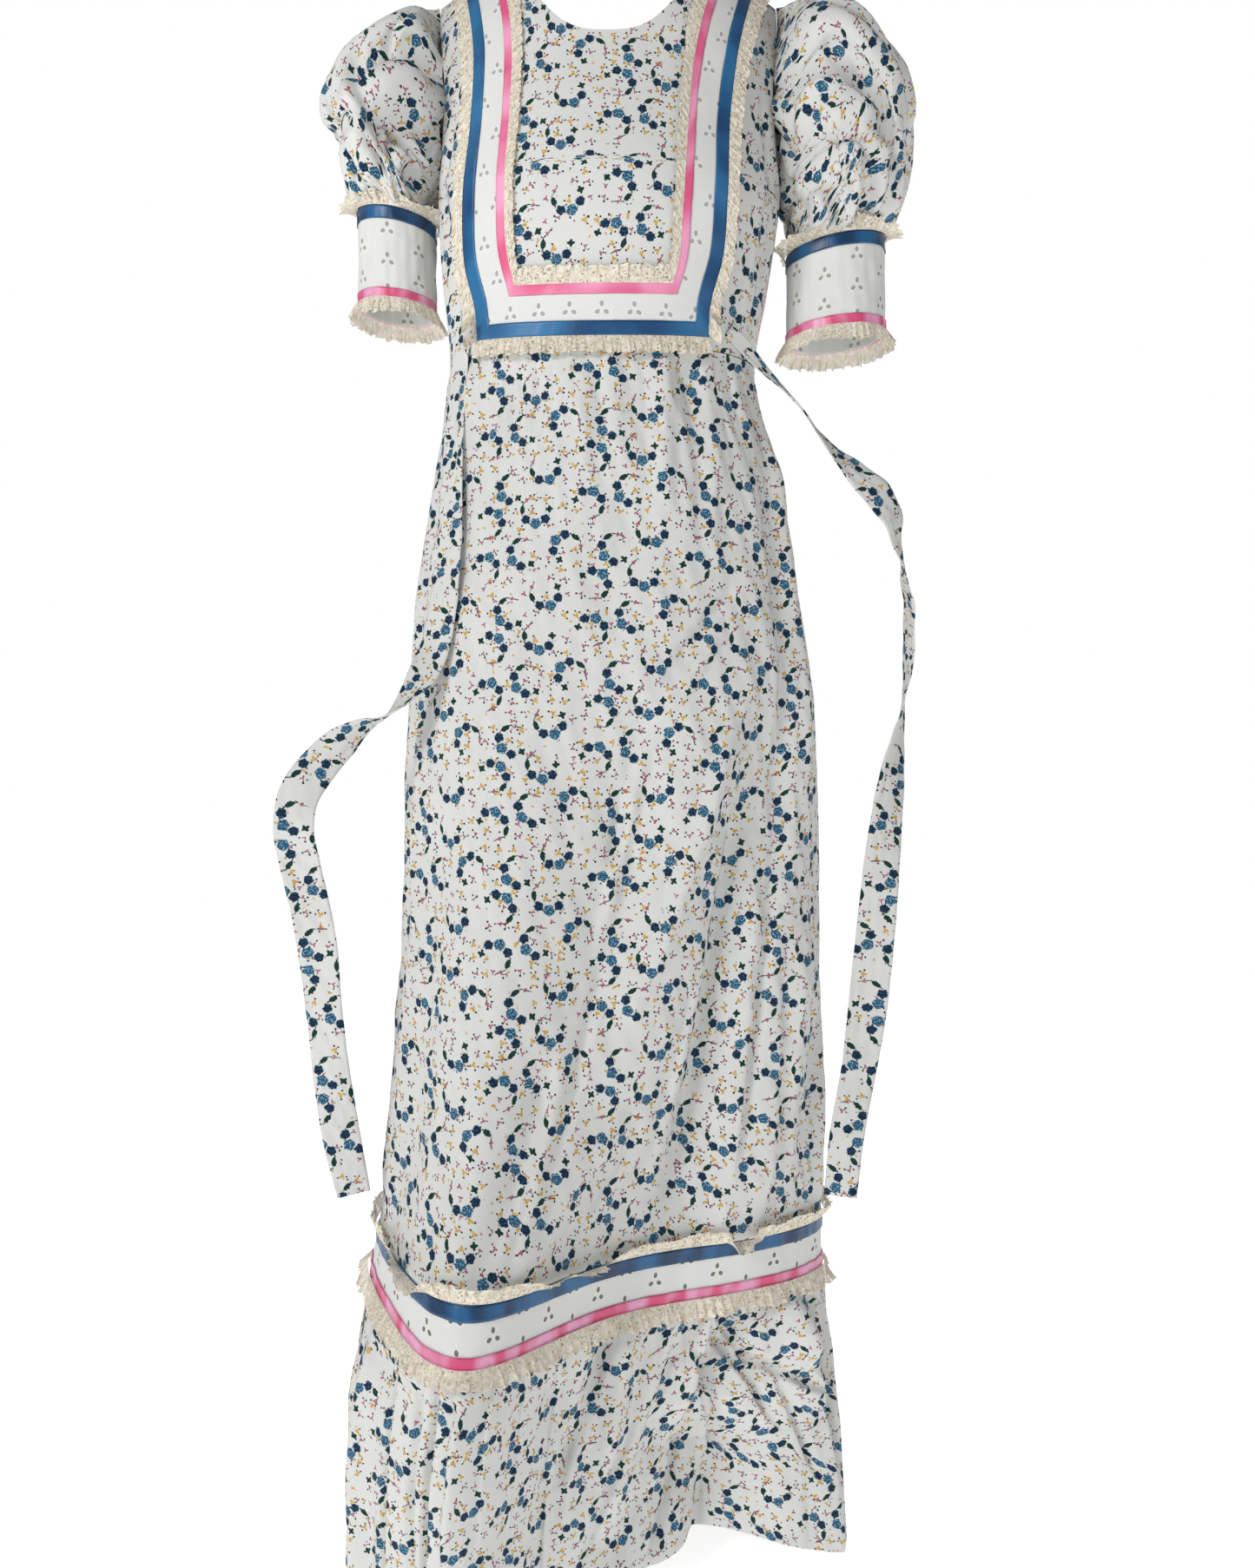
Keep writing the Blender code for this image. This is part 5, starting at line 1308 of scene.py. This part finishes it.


# The two tints of each satin are its painted shade and its painted sheen
SHORT_BLUE = satin("blue_satin_short", tint(10, 50, 88), tint(26, 92, 140), 0.030, 0.12)
SHORT_PINK = satin("pink_satin_short", tint(214, 78, 122), tint(230, 158, 194), 0.026, 0.09)
# The cuff's holes are filled with painted shade
CUFF_EYELET = eyelet_cotton("eyelet_cotton_turned", tint(160, 160, 154), turned=True)
CUFF_LACE_FULLNESS = 1.8
CUFF_LACE_PERIOD = 0.0076
CUFF_LACE_LIFT = 0.0012
CUFF_LACE_POINTS = 720
blue_end = CUFF_BLUE_AT + BLUE_WIDTH / CUFF_HEIGHT
pink_start = 1.0 - PINK_WIDTH / CUFF_HEIGHT
for side in ("l", "r"):
    angles = 2.0 * math.pi * np.arange(CUFF_STEPS) / CUFF_STEPS
    for name, node, start, end, rows, lift, material, slot_name in (
        ("cuff_{}_cloth", "cuff_{}", 0.004, 1.0, 60, 0.0, CUFF_EYELET, "eyelet_cotton"),
        ("cuff_blue_satin_{}", "cuff_blue_ribbon_{}", CUFF_BLUE_AT, blue_end, 8, 0.0009,
         SHORT_BLUE, "blue_satin"),
        ("cuff_pink_satin_{}", "cuff_pink_ribbon_{}", pink_start, 1.0, 8, 0.0009,
         SHORT_PINK, "pink_satin"),
    ):
        angle, along = grid(angles, np.linspace(start, end, rows))
        places = cuff_cloth(side, angle, along, lift)
        map_u, map_v = cloth_lengths(places, 0, closed=True)
        middle = places.mean(axis=(0, 1))
        piece = cloth_piece(name.format(side), places, map_u + 0.003, map_v + 0.006, material, True, middle)
        give_thickness(piece)
        sewn(piece, node.format(side))
    fine = 2.0 * math.pi * np.arange(CUFF_LACE_POINTS) / CUFF_LACE_POINTS
    top_lean = 52.0 + 30.0 * np.sin(3.0 * fine + 0.5) + 18.0 * np.sin(7.0 * fine)
    low_lean = 16.0 + 8.0 * np.sin(4.0 * fine)
    seed = 5.0 if side == "l" else 7.5
    for end, at, way, width, stand, lean in (
        ("top", 0.012, -1.0, 0.0130, 0.0040, top_lean),
        ("low", 0.985, 1.0, 0.0150, 0.0040, low_lean),
    ):
        edge = cuff_cloth(side, fine, np.full(fine.shape, at), CUFF_LACE_LIFT)
        further = cuff_cloth(side, fine, np.full(fine.shape, at + 0.05 * way), CUFF_LACE_LIFT)
        run_out = unit(further - edge)
        face = edge - edge.mean(axis=0)
        face = unit(face - np.sum(face * run_out, axis=1, keepdims=True) * run_out)
        node = f"cuff_{end}_lace_{side}"
        piece, length = frill(f"{node}_cloth", edge, run_out, face, width, CUFF_LACE_FULLNESS,
                              CUFF_LACE_PERIOD, stand, lean, seed, closed=True)
        sewn(piece, node)

# Skirt: a front and a back of the printed cotton, lightly gathered into the seam under the bust
# and falling straight to the hem band, pushed out by the walk.
BAND_TOP_Z = -1.109
BAND_BOTTOM_Z = -1.154
HEM_Z = -1.404
FOLD_COLUMNS = ("turn_top", "height_top", "turn_low", "height_low", "half_width", "rise")
SKIRT_FOLDS = (
    (46, -0.7, 18, -1.09, 0.036, -0.013),
    (28, -0.66, 2, -1, 0.036, 0.009),
    (64, -0.86, 38, -1.1, 0.032, 0.009),
    (6, -0.7, -6, -0.9, 0.024, -0.005),
    (-18, -0.94, -30, -1.11, 0.03, -0.01),
    (-2, -1, -20, -1.11, 0.022, 0.006),
    (34, -0.42, 12, -0.62, 0.028, 0.004),
    (-72, -0.72, -76, -1.1, 0.024, 0.006),
    (-56, -0.78, -60, -1.08, 0.024, -0.004),
    (112, -0.6, 118, -1.1, 0.04, 0.01),
    (136, -0.66, 140, -1.1, 0.036, -0.009),
    (160, -0.56, 162, -1.1, 0.042, 0.01),
    (-118, -0.62, -114, -1.1, 0.04, 0.01),
    (-140, -0.7, -138, -1.1, 0.036, -0.009),
    (-165, -0.6, -166, -1.1, 0.042, 0.009),
)
SKIRT_GATHERS = 20
SKIRT_GATHER_DEPTH = 0.0016
SKIRT_GATHER_FADE = 0.12


def folds(rows, turn, height, half_width):
    """The sum of a table's folds: each is a hump across its slanting line, faded at its ends."""
    total = np.zeros(np.broadcast(turn, height).shape)
    for row in rows:
        fold = dict(zip(FOLD_COLUMNS, row))
        along = (height - fold["height_top"]) / (fold["height_low"] - fold["height_top"])
        middle = np.radians(fold["turn_top"] + (fold["turn_low"] - fold["turn_top"]) * along)
        apart = (turn - middle + math.pi) % (2.0 * math.pi) - math.pi
        ends = np.clip(3.0 * (along + 0.18), 0.0, 1.0) * np.clip(3.0 * (1.18 - along), 0.0, 1.0)
        total = total + fold["rise"] * hump(apart * half_width / fold["half_width"] / FOLD_FOOT) * ends
    return total


def outward(turn):
    return points(np.sin(turn), -np.cos(turn), np.zeros_like(turn))


def skirt_surface(turn, height):
    """The skirt: the body's ring, its large folds, and small gathers that fade below the seam."""
    base = body(turn, height)
    ring = ring_at(height)
    below_seam = np.clip((EMPIRE_Z - height) / 0.05, 0.0, 1.0)
    above_band = np.clip((height - BAND_TOP_Z) / 0.05, 0.35, 1.0)
    bulge = folds(SKIRT_FOLDS, turn, height, ring["half_width"]) * below_seam * above_band
    depth = (EMPIRE_Z - height) / SKIRT_GATHER_FADE
    fade = np.clip(depth * 5.0, 0.0, 1.0) * np.clip(1.0 - depth, 0.0, 1.0)
    bulge = bulge + SKIRT_GATHER_DEPTH * np.sin(SKIRT_GATHERS * turn) * fade
    return base + bulge[..., None] * outward(turn)


GATHERS_FADE = 0.060
SKIRT_CREASE_GAIN = 2.0
# Smaller creases between the large folds, in the same columns
SKIRT_CREASES = (
    (36, -0.75, 16, -1.05, 0.011, -0.005),
    (42, -0.8, 30, -1.08, 0.012, 0.004),
    (30, -0.7, 8, -0.88, 0.01, 0.0036),
    (8, -0.7, -3, -0.84, 0.007, 0.0024),
    (2, -0.74, 0, -0.78, 0.006, -0.0024),
    (-20, -0.96, -32, -1.1, 0.012, -0.004),
    (-12, -0.94, -20, -1.1, 0.009, 0.0026),
    (0, -1, -18, -1.09, 0.007, 0.0028),
    (9, -1, -4, -1.07, 0.006, 0.0022),
    (62, -0.48, 52, -0.78, 0.012, -0.0034),
    (72, -0.42, 66, -0.72, 0.011, 0.003),
    (38, -0.56, 16, -0.63, 0.01, -0.0022),
    (30, -0.6, 12, -0.67, 0.01, 0.002),
    (22, -0.37, 16, -0.5, 0.01, 0.0024),
    (34, -0.37, 28, -0.52, 0.01, -0.0024),
    (-6, -0.37, -8, -0.48, 0.01, 0.002),
    (-30, -0.37, -34, -0.5, 0.01, -0.0022),
    (-52, -0.37, -60, -0.55, 0.012, 0.0026),
    (-70, -0.5, -74, -0.9, 0.012, -0.0032),
    (54, -0.88, 46, -1.1, 0.01, -0.003),
    (50, -0.8, 34, -1.04, 0.006, -0.0024),
    (26, -0.86, 10, -1.04, 0.006, 0.0022),
    (-4, -0.88, -16, -1.04, 0.006, -0.002),
    (70, -0.9, 74, -1.1, 0.012, 0.0034),
    (104, -0.44, 108, -0.9, 0.014, -0.0036),
    (126, -0.4, 124, -0.8, 0.014, 0.0034),
    (150, -0.5, 148, -1.05, 0.013, -0.0036),
    (172, -0.4, 178, -0.84, 0.014, -0.0034),
    (-104, -0.44, -108, -0.92, 0.014, -0.0034),
    (-128, -0.4, -126, -0.82, 0.014, 0.0034),
    (-152, -0.52, -150, -1.05, 0.013, -0.0036),
    (-176, -0.6, -172, -1.08, 0.012, 0.003),
)


def skirt_cloth(turn, height):
    """The skirt's surface: its large folds, small creases, and fine gathers under the seam."""
    base = skirt_surface(turn, height)
    ring = ring_at(height)
    drop = EMPIRE_Z - height
    bulge = SKIRT_CREASE_GAIN * folds(SKIRT_CREASES, turn, height, ring["half_width"])
    gathers = gather_marks(turn, 50, 2.0) * np.exp(-drop / GATHERS_FADE) * np.clip(drop * 120.0, 0.0, 1.0)
    bulge = bulge + 0.0020 * gathers
    bulge = bulge + 0.0013 * unevenness(turn * 2.2, height * 5.0, 8.0)
    bulge = bulge + 0.0007 * unevenness(turn * 4.0 + height * 9.0, turn * 2.0 - height * 6.0, 2.0)
    bulge = bulge * np.clip(drop * 60.0, 0.0, 1.0) * np.clip((height - BAND_TOP_Z) * 40.0, 0.0, 1.0)
    return base + bulge[..., None] * outward(turn)


# Where a wreath's middle lies on the skirt's front
SKIRT_WREATH_AT = (-0.019, -0.495)
SKIRT_LEVELS = 222
BODY_SIDE = facing_of(skirt_surface, 0.0, -0.8, (0.0, -1.0, 0.0))
HALVES = (("front", -0.5 * math.pi, 0.5 * math.pi), ("back", 0.5 * math.pi, 1.5 * math.pi))
for half, start, end in HALVES:
    steps = 301 if half == "front" else 201
    heights = np.linspace(EMPIRE_Z - 0.0003, BAND_TOP_Z + 0.0002, SKIRT_LEVELS)
    turn, height = grid(np.linspace(start, end, steps), heights)
    places = skirt_cloth(turn, height)
    map_u, map_v = hung_map(places, steps // 2)
    map_u = map_u + places[steps // 2, 0, 0] - SKIRT_WREATH_AT[0]
    piece = cloth_piece(f"skirt_{half}_cloth", places, map_u, map_v + SKIRT_WREATH_AT[1], PRINT)
    sewn(piece, f"skirt_{half}")

# Lace under the yoke's blue ribbon: the same gathered lace, over the seam and the skirt's gathers.
EMPIRE_LACE_AT = -0.3545
ends = yoke_edge(np.array([-1.0, 1.0]), BAND_SIDE_WIDTH + BLUE_WIDTH, 0.0)
ring = ring_at(EMPIRE_Z)
ends = np.arcsin((ends - ring["centre"]) / ring["half_width"])
turn = np.linspace(ends[0], ends[1], 620)
height = EMPIRE_LACE_AT + bottom_bow(body(turn, EMPIRE_Z)[:, 0])
face = BODY_SIDE * normals(body, turn, height)
edge = body(turn, height) + 0.0016 * face
down = np.broadcast_to(np.array([0.0, 0.0, -1.0]), edge.shape)
piece, length = frill("empire_lace_cloth", edge, down, face, 0.0150, 1.5, 0.0094, 0.0034, 14.0, 9.0)
sewn(piece, "empire_lace")

# Hem band: eyelet cotton round the foot of the skirt, with a blue satin ribbon over its upper
# edge, a pink one over its lower edge, and gathered lace above and below.
# The hem band's holes get the darkest painted shade
HEM_EYELET = eyelet_cotton("eyelet_cotton_hem", tint(120, 116, 108), turned=True)


def band_cloth(turn, height):
    """The hem band: the body's ring with faint upright creases."""
    crease = 0.0007 * unevenness(turn * 4.0, height * 6.0, 5.0)
    return body(turn, height) + crease[..., None] * outward(turn)


HEM_STEPS = 420


def hem_strip(name, node, start, end, top, low, rows, lift, material, ripple):
    """A strip of a hem half between two levels, rippled by its stitching, and its length."""
    turn, height = grid(np.linspace(start, end, HEM_STEPS), np.linspace(top, low, rows))
    wave = lift + ripple * unevenness(turn * 30.0, height * 20.0, 3.0)
    places = band_cloth(turn, height) + (wave * BODY_SIDE)[..., None] * normals(body, turn, height)
    map_u, map_v = cloth_lengths(places, HEM_STEPS // 2)
    piece = cloth_piece(name, places, map_u + 0.008, map_v + 0.0045, material)
    give_thickness(piece)
    return sewn(piece, node), float(map_u[-1].mean() - map_u[0].mean())


for half, start, end in HALVES:
    band, band_run = hem_strip(f"hem_band_{half}_cloth", f"hem_band_{half}", start, end,
                               BAND_TOP_Z, BAND_BOTTOM_Z, 14, 0.0, HEM_EYELET, 0.0)
    blue = hem_strip(f"hem_blue_satin_{half}", f"hem_blue_ribbon_{half}", start, end,
                     BAND_TOP_Z + 0.0004, BAND_TOP_Z - BLUE_WIDTH, 7, 0.0010, SHORT_BLUE,
                     0.00022)[0]
    pink = hem_strip(f"hem_pink_satin_{half}", f"hem_pink_ribbon_{half}", start, end,
                     BAND_BOTTOM_Z + PINK_WIDTH, BAND_BOTTOM_Z - 0.0004, 7, 0.0010, SHORT_PINK,
                     0.00025)[0]

# Flounce: the printed cotton gathered evenly into the band's lower edge, in front and back
# lengths, hanging in large soft folds with a narrow turned hem.
FLOUNCE_FOLDS = (
    (34, -1.165, 10, -1.35, 0.03, -0.015),
    (50, -1.165, 60, -1.26, 0.04, 0.014),
    (22, -1.19, 2, -1.33, 0.024, 0.011),
    (30, -1.27, 33, -1.41, 0.044, -0.034),
    (70, -1.27, 72, -1.41, 0.034, 0.012),
    (-8, -1.17, -14, -1.41, 0.024, -0.012),
    (-24, -1.17, -26, -1.41, 0.024, 0.009),
    (-42, -1.17, -44, -1.41, 0.022, -0.008),
    (-64, -1.17, -66, -1.41, 0.026, 0.008),
    (-84, -1.17, -86, -1.41, 0.022, -0.008),
    (100, -1.17, 102, -1.41, 0.03, -0.012),
    (120, -1.17, 124, -1.41, 0.034, 0.014),
    (146, -1.17, 148, -1.41, 0.03, -0.012),
    (168, -1.17, 170, -1.41, 0.034, 0.013),
    (-106, -1.17, -108, -1.41, 0.032, 0.012),
    (-128, -1.17, -130, -1.41, 0.03, -0.012),
    (-148, -1.17, -150, -1.41, 0.034, 0.013),
    (-170, -1.17, -172, -1.41, 0.028, -0.011),
)
HEM_LIFTS = (
    (-180, 0),
    (-20, 0),
    (2, 0.004),
    (15, 0.02),
    (27, 0.029),
    (38, 0.027),
    (55, 0.014),
    (75, 0.003),
    (110, 0),
    (180, 0),
)
FLOUNCE_GATHERS = 20
FLOUNCE_GATHER_DEPTH = 0.0022


def flounce_surface(turn, height):
    """The flounce: the body's ring with its gathers at the top and its large folds below."""
    base = body(turn, height)
    ring = ring_at(height)
    drop = np.clip((BAND_BOTTOM_Z - height) / (BAND_BOTTOM_Z - HEM_Z), 0.0, 1.0)
    start = np.clip(drop * 6.0, 0.0, 1.0)
    bulge = folds(FLOUNCE_FOLDS, turn, height, ring["half_width"]) * start
    gathers = FLOUNCE_GATHER_DEPTH * np.sin(FLOUNCE_GATHERS * turn + 2.0 * np.sin(3.0 * turn))
    bulge = bulge + gathers * np.clip(drop * 8.0, 0.0, 1.0) * (1.0 - 0.6 * drop)
    return base + bulge[..., None] * outward(turn)


FLOUNCE_CREASE_GAIN = 2.3
FLOUNCE_CREASES = (
    (2, -1.16, -8, -1.27, 0.009, -0.005),
    (8, -1.165, 2, -1.28, 0.01, 0.0042),
    (21, -1.185, 10, -1.3, 0.01, -0.0056),
    (28, -1.165, 20, -1.27, 0.009, 0.0044),
    (32, -1.16, 40, -1.225, 0.01, -0.006),
    (40, -1.215, 60, -1.25, 0.012, -0.005),
    (52, -1.165, 56, -1.22, 0.016, 0.005),
    (66, -1.165, 72, -1.32, 0.012, -0.0046),
    (-51, -1.16, -52, -1.4, 0.0045, -0.0042),
    (-43, -1.165, -43.5, -1.33, 0.004, -0.0026),
    (-38, -1.16, -39, -1.4, 0.0045, -0.0044),
    (-29, -1.165, -30, -1.36, 0.008, 0.003),
    (-24, -1.16, -24.5, -1.3, 0.004, -0.0028),
    (-18, -1.16, -20, -1.38, 0.0045, -0.0044),
    (-11, -1.16, -14, -1.36, 0.0045, -0.004),
    (-3, -1.16, -7, -1.34, 0.008, 0.0036),
    (-60, -1.16, -62, -1.4, 0.01, 0.0034),
    (-72, -1.16, -73, -1.4, 0.009, -0.0036),
    (14, -1.3, 4, -1.4, 0.01, 0.003),
    (36, -1.29, 24, -1.4, 0.012, -0.0034),
    (24, -1.2, 34, -1.3, 0.006, -0.0038),
    (30, -1.19, 46, -1.27, 0.006, -0.0042),
    (18, -1.19, 8, -1.29, 0.006, -0.0036),
    (48, -1.24, 60, -1.32, 0.006, -0.0034),
    (22, -1.28, 12, -1.38, 0.005, -0.0028),
    (6, -1.26, -3, -1.36, 0.005, -0.0028),
    (94, -1.16, 96, -1.4, 0.01, 0.0036),
    (112, -1.16, 114, -1.38, 0.01, -0.004),
    (134, -1.16, 136, -1.4, 0.01, 0.0036),
    (156, -1.16, 158, -1.38, 0.01, -0.004),
    (178, -1.16, 180, -1.4, 0.01, 0.0036),
    (-98, -1.16, -100, -1.4, 0.01, -0.0038),
    (-118, -1.16, -120, -1.38, 0.01, 0.0038),
    (-138, -1.16, -140, -1.4, 0.01, -0.0038),
    (-160, -1.16, -162, -1.4, 0.01, 0.0038),
)


def flounce_cloth(turn, height):
    """The flounce's surface: its large folds, small creases, and sharp fine gathers at the top."""
    base = flounce_surface(turn, height)
    ring = ring_at(height)
    drop = BAND_BOTTOM_Z - height
    bulge = FLOUNCE_CREASE_GAIN * folds(FLOUNCE_CREASES, turn, height, ring["half_width"])
    bulge = bulge + 0.0044 * gather_marks(turn, 56, 4.0) * np.exp(-drop / GATHERS_FADE)
    bulge = bulge + 0.0014 * unevenness(turn * 3.0, height * 7.0, 6.0)
    bulge = bulge * np.clip(drop * 70.0, 0.0, 1.0)
    return base + bulge[..., None] * outward(turn)


FLOUNCE_LEVELS = 110
for half, start, end in HALVES:
    steps = 401 if half == "front" else 281
    top = BAND_BOTTOM_Z - 0.0001
    turn, share = grid(np.linspace(start, end, steps), np.linspace(0.0, 1.0, FLOUNCE_LEVELS))
    height = top + (HEM_Z + lift_at(HEM_LIFTS, turn) - top) * share
    places = flounce_cloth(turn, height)
    map_u, map_v = cloth_lengths(places, steps // 2)
    piece = cloth_piece(f"flounce_{half}_cloth", places, map_u + 0.030, map_v + 0.020, PRINT)
    sewn(piece, f"flounce_{half}")

# The hem's laces: the upper one stands up over the skirt and flops over the ribbon here and
# there, the lower one hangs over the flounce's gathers.
# Where the upper lace flops over, how wide, and how far it leans there, all in degrees
FLOP_COLUMNS = ("middle", "spread", "drape")
FLOPS = (
    (-48, 7, 84),
    (-8, 9, 62),
    (35, 4, 98),
    (128, 7, 92),
    (196, 8, 84),
    (238, 6, 92),
)
HEM_LACE_LIFT = 0.0022
HEM_LACE_FULLNESS = 1.6
HEM_LACE_PERIOD = 0.0104
HEM_LACE_POINTS = 1300
for half, start, end in HALVES:
    turn = np.linspace(start, end, HEM_LACE_POINTS)
    seed = 1.0 if half == "front" else 4.0
    for level, surface, at, way, width, stand in (
        ("top", skirt_cloth, BAND_TOP_Z + 0.0010, 1.0, 0.0122, 0.0038),
        ("low", flounce_cloth, BAND_BOTTOM_Z + 0.0012, -1.0, 0.0155, 0.0044),
    ):
        height = np.full(turn.shape, at)
        face = BODY_SIDE * normals(body, turn, height)
        edge = surface(turn, height) + HEM_LACE_LIFT * face
        run_out = unit(body(turn, height + way * 0.01) - body(turn, height))
        lean = 20.0 + 9.0 * np.sin(11.0 * turn) + 6.0 * np.sin(23.0 * turn + 1.0)
        if level == "top":
            for row in FLOPS:
                flop = dict(zip(FLOP_COLUMNS, row))
                drape = flop["drape"] + 18.0 * np.sin(31.0 * turn + flop["middle"])
                lean = lean + drape * np.exp(-(((np.degrees(turn) - flop["middle"]) / flop["spread"]) ** 4))
        node = f"hem_{level}_lace_{half}"
        piece, length = frill(f"{node}_cloth", edge, run_out, face, width, HEM_LACE_FULLNESS,
                              HEM_LACE_PERIOD, stand, lean, seed)
        sewn(piece, node)

# Ties: two long flat ties of the printed cotton, sewn at the yoke's lower corners and blown
# aside, each with its free end cut straight.
TIE_COLUMNS = ("x", "y", "z", "width", "turn")
TIE_ROWS = {
    "l": (
        (-0.1226, -0.0552, -0.348, 0.02, -50),
        (-0.1253, -0.053, -0.3702, 0.023, -48),
        (-0.127, -0.0575, -0.395, 0.024, -46),
        (-0.129, -0.068, -0.4515, 0.027, -46),
        (-0.1317, -0.0791, -0.5207, 0.031, -42),
        (-0.1353, -0.0859, -0.5662, 0.033, -40),
        (-0.1422, -0.0911, -0.6094, 0.031, -32),
        (-0.1511, -0.1, -0.6334, 0.026, -22),
        (-0.1648, -0.106, -0.6537, 0.022, -50),
        (-0.1793, -0.11, -0.6679, 0.02, -85),
        (-0.196, -0.112, -0.676, 0.022, -120),
        (-0.212, -0.113, -0.687, 0.027, -150),
        (-0.231, -0.116, -0.706, 0.031, -170),
        (-0.247, -0.123, -0.732, 0.033, -180),
        (-0.25, -0.127, -0.758, 0.033, -184),
        (-0.245, -0.122, -0.79, 0.032, -180),
        (-0.2375, -0.119, -0.825, 0.032, -178),
        (-0.233, -0.118, -0.853, 0.033, -186),
        (-0.227, -0.117, -0.912, 0.031, -192),
        (-0.2215, -0.116, -0.96, 0.031, -184),
        (-0.2115, -0.114, -1.021, 0.03, -176),
        (-0.204, -0.113, -1.054, 0.027, -178),
    ),
    "r": (
        (0.1026, -0.068, -0.3405, 0.012, 2),
        (0.117, -0.055, -0.3518, 0.012, 8),
        (0.1323, -0.05, -0.3678, 0.011, 34),
        (0.147, -0.053, -0.3837, 0.01, 58),
        (0.1625, -0.058, -0.4012, 0.009, 74),
        (0.1786, -0.067, -0.4276, 0.014, 66),
        (0.204, -0.08, -0.4594, 0.024, 34),
        (0.2247, -0.086, -0.4818, 0.03, 24),
        (0.2388, -0.08, -0.5002, 0.031, 44),
        (0.2457, -0.068, -0.5213, 0.031, 66),
        (0.254, -0.05, -0.546, 0.031, 84),
        (0.262, -0.022, -0.572, 0.031, 92),
        (0.265, 0, -0.612, 0.031, 96),
        (0.26, 0, -0.665, 0.031, 70),
        (0.249, -0.012, -0.722, 0.03, 30),
        (0.238, -0.026, -0.793, 0.032, 6),
        (0.231, -0.032, -0.853, 0.033, -4),
        (0.2225, -0.038, -0.921, 0.033, 0),
        (0.214, -0.044, -0.972, 0.031, 6),
        (0.2045, -0.05, -1.018, 0.03, 0),
        (0.198, -0.052, -1.073, 0.028, -4),
    ),
}
TIE_STEPS = 340
TIE_THICKNESS = 0.0007
for side, rows in TIE_ROWS.items():
    knot_places = np.stack([column(rows, TIE_COLUMNS, name) for name in ("x", "y", "z")], axis=1)
    knots = run_along(knot_places)
    at = np.linspace(0.0, knots[-1], TIE_STEPS)
    middle = np.stack([through(knots, knot_places[:, axis], at) for axis in range(3)], axis=1)
    width = through(knots, column(rows, TIE_COLUMNS, "width"), at)
    turn = np.radians(through(knots, column(rows, TIE_COLUMNS, "turn"), at))
    forward = unit(np.gradient(middle, axis=0))
    facing = unit(np.array([0.0, -1.0, 0.0]) + forward * forward[:, 1:2])
    sideways = np.cross(forward, facing)
    over = np.cos(turn)[:, None] * sideways + np.sin(turn)[:, None] * facing
    normal = -np.sin(turn)[:, None] * sideways + np.cos(turn)[:, None] * facing
    share = np.linspace(-0.5, 0.5, 13)
    cup = 0.10 * width[:, None] * (4.0 * share[None, :] ** 2 - 0.4) * np.sin(at * 21.0)[:, None]
    crumple = 0.0009 * unevenness(at[:, None] * 16.0, share[None, :] * 3.0, 2.0 if side == "l" else 5.0)
    lift = (cup * 0.5 + crumple) * np.clip(at * 12.0, 0.0, 1.0)[:, None]
    places = middle[:, None] + share[None, :, None] * (width[:, None] * over)[:, None]
    places = places + lift[..., None] * normal[:, None]
    map_u = np.broadcast_to(share[None, :] * width.mean(), lift.shape)
    map_v = np.broadcast_to(at[:, None], lift.shape)
    inward = middle.mean(axis=0) + np.array([0.0, 1.0, 0.0])
    piece = cloth_piece(f"tie_{side}_cloth", places, map_u + 0.02, map_v, PRINT, middle=inward)
    give_thickness(piece, TIE_THICKNESS)
    sewn(piece, f"tie_{side}")
